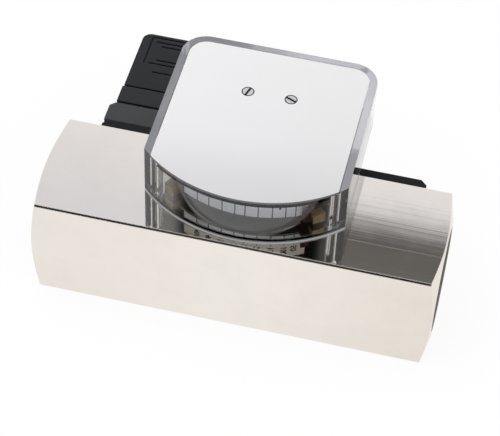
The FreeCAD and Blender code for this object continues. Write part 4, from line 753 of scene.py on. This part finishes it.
def studio_sky(settings):
    """White room with a dark, mottled panel above and a dark corner in front, for the plating to mirror."""
    world = bpy.data.worlds.new("studio_sky")
    world.use_nodes = True
    tree = world.node_tree
    tree.nodes.clear()
    way = split(tree, add_node(tree, "ShaderNodeTexCoord").outputs["Generated"])
    rise = arithmetic(tree, "MAXIMUM", way["Z"], 0.001)
    across = arithmetic(tree, "DIVIDE", way["X"], rise)
    back = arithmetic(tree, "DIVIDE", way["Y"], rise)
    panel = product(tree, smooth_step(tree, across, -0.24, -0.12), smooth_step(tree, across, 0.9, 0.5),
                    smooth_step(tree, back, 0.895, 0.865), smooth_step(tree, back, 0.1, 0.5))
    corner = product(tree, smooth_step(tree, across, -2.2, -1.2), smooth_step(tree, across, 2.2, 1.2),
                     smooth_step(tree, back, -0.25, -0.5), smooth_step(tree, back, -4.5, -2.5))
    ceiling = product(tree, smooth_step(tree, back, 1.02, 0.8), smooth_step(tree, back, -0.4, 0.2))
    bands = add_node(tree, "ShaderNodeCombineXYZ", {
        "X": product(tree, across, 2.5), "Y": product(tree, back, 15.0)})
    mottle = add_node(tree, "ShaderNodeTexNoise", {
        "Vector": bands.outputs[0], "Scale": 1.0, "Detail": 3.0, "Roughness": 0.6})
    shade = tone(tree, spread(tree, mottle.outputs["Fac"], 0.0, 1.0), (0.08, 0.079, 0.082, 1.0),
                 (0.18, 0.174, 0.167, 1.0))
    direct, camera = seen_directly(tree)
    room = tone(tree, ceiling, WHITE, (0.775, 0.785, 0.845, 1.0))
    for share, tint in ((panel, shade), (corner, (0.025, 0.024, 0.023, 1.0)), (camera, WHITE)):
        room = tone(tree, share, room, tint)
    mirror = add_node(tree, "ShaderNodeBackground", {"Color": room, "Strength": 1.0})
    light = add_node(tree, "ShaderNodeBackground", {
        "Color": (1.0, 0.99, 0.98, 1.0), "Strength": settings.sky})
    mix = add_node(tree, "ShaderNodeMixShader", {0: direct, 1: light.outputs[0], 2: mirror.outputs[0]})
    add_node(tree, "ShaderNodeOutputWorld", {"Surface": mix.outputs[0]})
    return world


def pale_floor(settings):
    """Floor that shows white with a faint shadow, and mirrors a little warmer to the sides."""
    material = bpy.data.materials.new("pale_floor")
    material.use_nodes = True
    tree = material.node_tree
    tree.nodes.clear()
    direct, camera = seen_directly(tree)
    matt = add_node(tree, "ShaderNodeBsdfDiffuse", {"Color": scaled(settings.floor)})
    x = split(tree, add_node(tree, "ShaderNodeNewGeometry").outputs["Position"])["X"]
    right = smooth_step(tree, x, 0.0, 0.07)
    left = smooth_step(tree, x, -0.005, -0.06)
    sides = arithmetic(tree, "MULTIPLY_ADD", left, 0.45, right)
    beside = product(tree, sides, arithmetic(tree, "SUBTRACT", 1.0, camera))
    warm = tone(tree, beside, WHITE, (0.925, 0.9, 0.88, 1.0))
    white = add_node(tree, "ShaderNodeEmission", {"Color": warm, "Strength": 1.0})
    share = product(tree, direct, 0.9)
    mix = add_node(tree, "ShaderNodeMixShader", {0: share, 1: matt.outputs[0], 2: white.outputs[0]})
    add_node(tree, "ShaderNodeOutputMaterial", {"Surface": mix.outputs[0]})
    return material


def soft_lamp(name, place, aim, size, power):
    """A large soft lamp that lights the part but isn't mirrored in it."""
    data = bpy.data.lights.new(name, "AREA")
    data.size = size
    data.energy = power
    lamp = bpy.data.objects.new(name, data)
    lamp.location = place
    lamp.rotation_euler = (Vector(aim) - Vector(place)).to_track_quat("-Z", "Y").to_euler()
    lamp.visible_glossy = False
    lamp.visible_transmission = False
    bpy.context.scene.collection.objects.link(lamp)


def photo_camera(settings):
    """Camera at the photograph's place and angle."""
    azimuth, elevation, roll = settings.azimuth, settings.elevation, settings.roll
    back = Vector((math.sin(azimuth) * math.cos(elevation), -math.cos(azimuth) * math.cos(elevation),
                   math.sin(elevation)))
    right = (-back).cross(Vector((0.0, 0.0, 1.0))).normalized()
    up = right.cross(-back)
    image_right = math.cos(roll) * right + math.sin(roll) * up
    image_up = math.cos(roll) * up - math.sin(roll) * right
    data = bpy.data.cameras.new("photo_camera")
    data.sensor_fit = "HORIZONTAL"
    data.sensor_width = 36.0
    data.lens = settings.lens
    data.clip_start = 0.01
    camera = bpy.data.objects.new("photo_camera", data)
    turn = Matrix((image_right, image_up, back)).transposed().to_4x4()
    camera.matrix_world = Matrix.Translation(Vector(settings.place)) @ turn
    bpy.context.scene.collection.objects.link(camera)
    return camera


class FLOWMETER_OT_studio(bpy.types.Operator):
    """Set up the pale floor, the soft light and the camera"""

    bl_idname = "flow_meter.studio"
    bl_label = "Studio"

    def execute(self, context):
        scene = context.scene
        settings = scene.flow_meter_studio
        scene.view_settings.view_transform = "Standard"
        made = bmesh.new()
        bmesh.ops.create_grid(made, x_segments=1, y_segments=1, size=FLOOR_HALF)
        floor = bpy.data.objects.new("floor", finished_mesh("floor", made))
        floor.location.z = BODY_LOW.z - FLOOR_GAP
        floor.data.materials.append(pale_floor(settings))
        scene.collection.objects.link(floor)
        scene.world = studio_sky(settings)
        soft_lamp("key_lamp", (-0.3, -0.1, 1.0), LAMP_AIM, 0.9, settings.key)
        soft_lamp("fill_lamp", (0.7, -0.3, 0.6), LAMP_AIM, 0.8, settings.fill)
        scene.camera = photo_camera(settings)
        return {"FINISHED"}


class FLOWMETER_PT_panel(bpy.types.Panel):
    """Sizes, colours and steps of the flow meter"""

    bl_label = "Flow meter"
    bl_idname = "FLOWMETER_PT_panel"
    bl_space_type = "VIEW_3D"
    bl_region_type = "UI"
    bl_category = "Flow meter"

    def draw(self, context):
        for step in STEPS:
            self.layout.operator(step.bl_idname)
        for name, kind in SETTINGS.items():
            group = getattr(context.scene, name)
            box = self.layout.box()
            box.label(text=kind.__doc__)
            for key in kind.__annotations__:
                box.prop(group, key)


STEPS = (
    FLOWMETER_OT_bar,
    FLOWMETER_OT_port_threads,
    FLOWMETER_OT_metering_set,
    FLOWMETER_OT_display_cover,
    FLOWMETER_OT_display_works,
    FLOWMETER_OT_scale,
    FLOWMETER_OT_pointer,
    FLOWMETER_OT_switch_housing,
    FLOWMETER_OT_plug,
    FLOWMETER_OT_studio,
)
SETTINGS = {
    "flow_meter_finish": FlowMeterFinish,
    "flow_meter_scale": FlowMeterScale,
    "flow_meter_thread": FlowMeterThread,
    "flow_meter_studio": FlowMeterStudio,
}


def register():
    """Add the settings, the steps and the panel."""
    for name, kind in SETTINGS.items():
        bpy.utils.register_class(kind)
        setattr(bpy.types.Scene, name, PointerProperty(type=kind))
    for kind in (*STEPS, FLOWMETER_PT_panel):
        bpy.utils.register_class(kind)


def unregister():
    """Take them out again."""
    for kind in reversed((*STEPS, FLOWMETER_PT_panel)):
        bpy.utils.unregister_class(kind)
    for name, kind in SETTINGS.items():
        delattr(bpy.types.Scene, name)
        bpy.utils.unregister_class(kind)


def main():
    """Register and run each step in order."""
    register()
    bpy.ops.flow_meter.bar()
    bpy.ops.flow_meter.port_threads()
    bpy.ops.flow_meter.metering_set()
    bpy.ops.flow_meter.display_cover()
    bpy.ops.flow_meter.display_works()
    bpy.ops.flow_meter.scale()
    bpy.ops.flow_meter.pointer()
    bpy.ops.flow_meter.switch_housing()
    bpy.ops.flow_meter.plug()
    bpy.ops.flow_meter.studio()


if __name__ == "__main__":
    main()
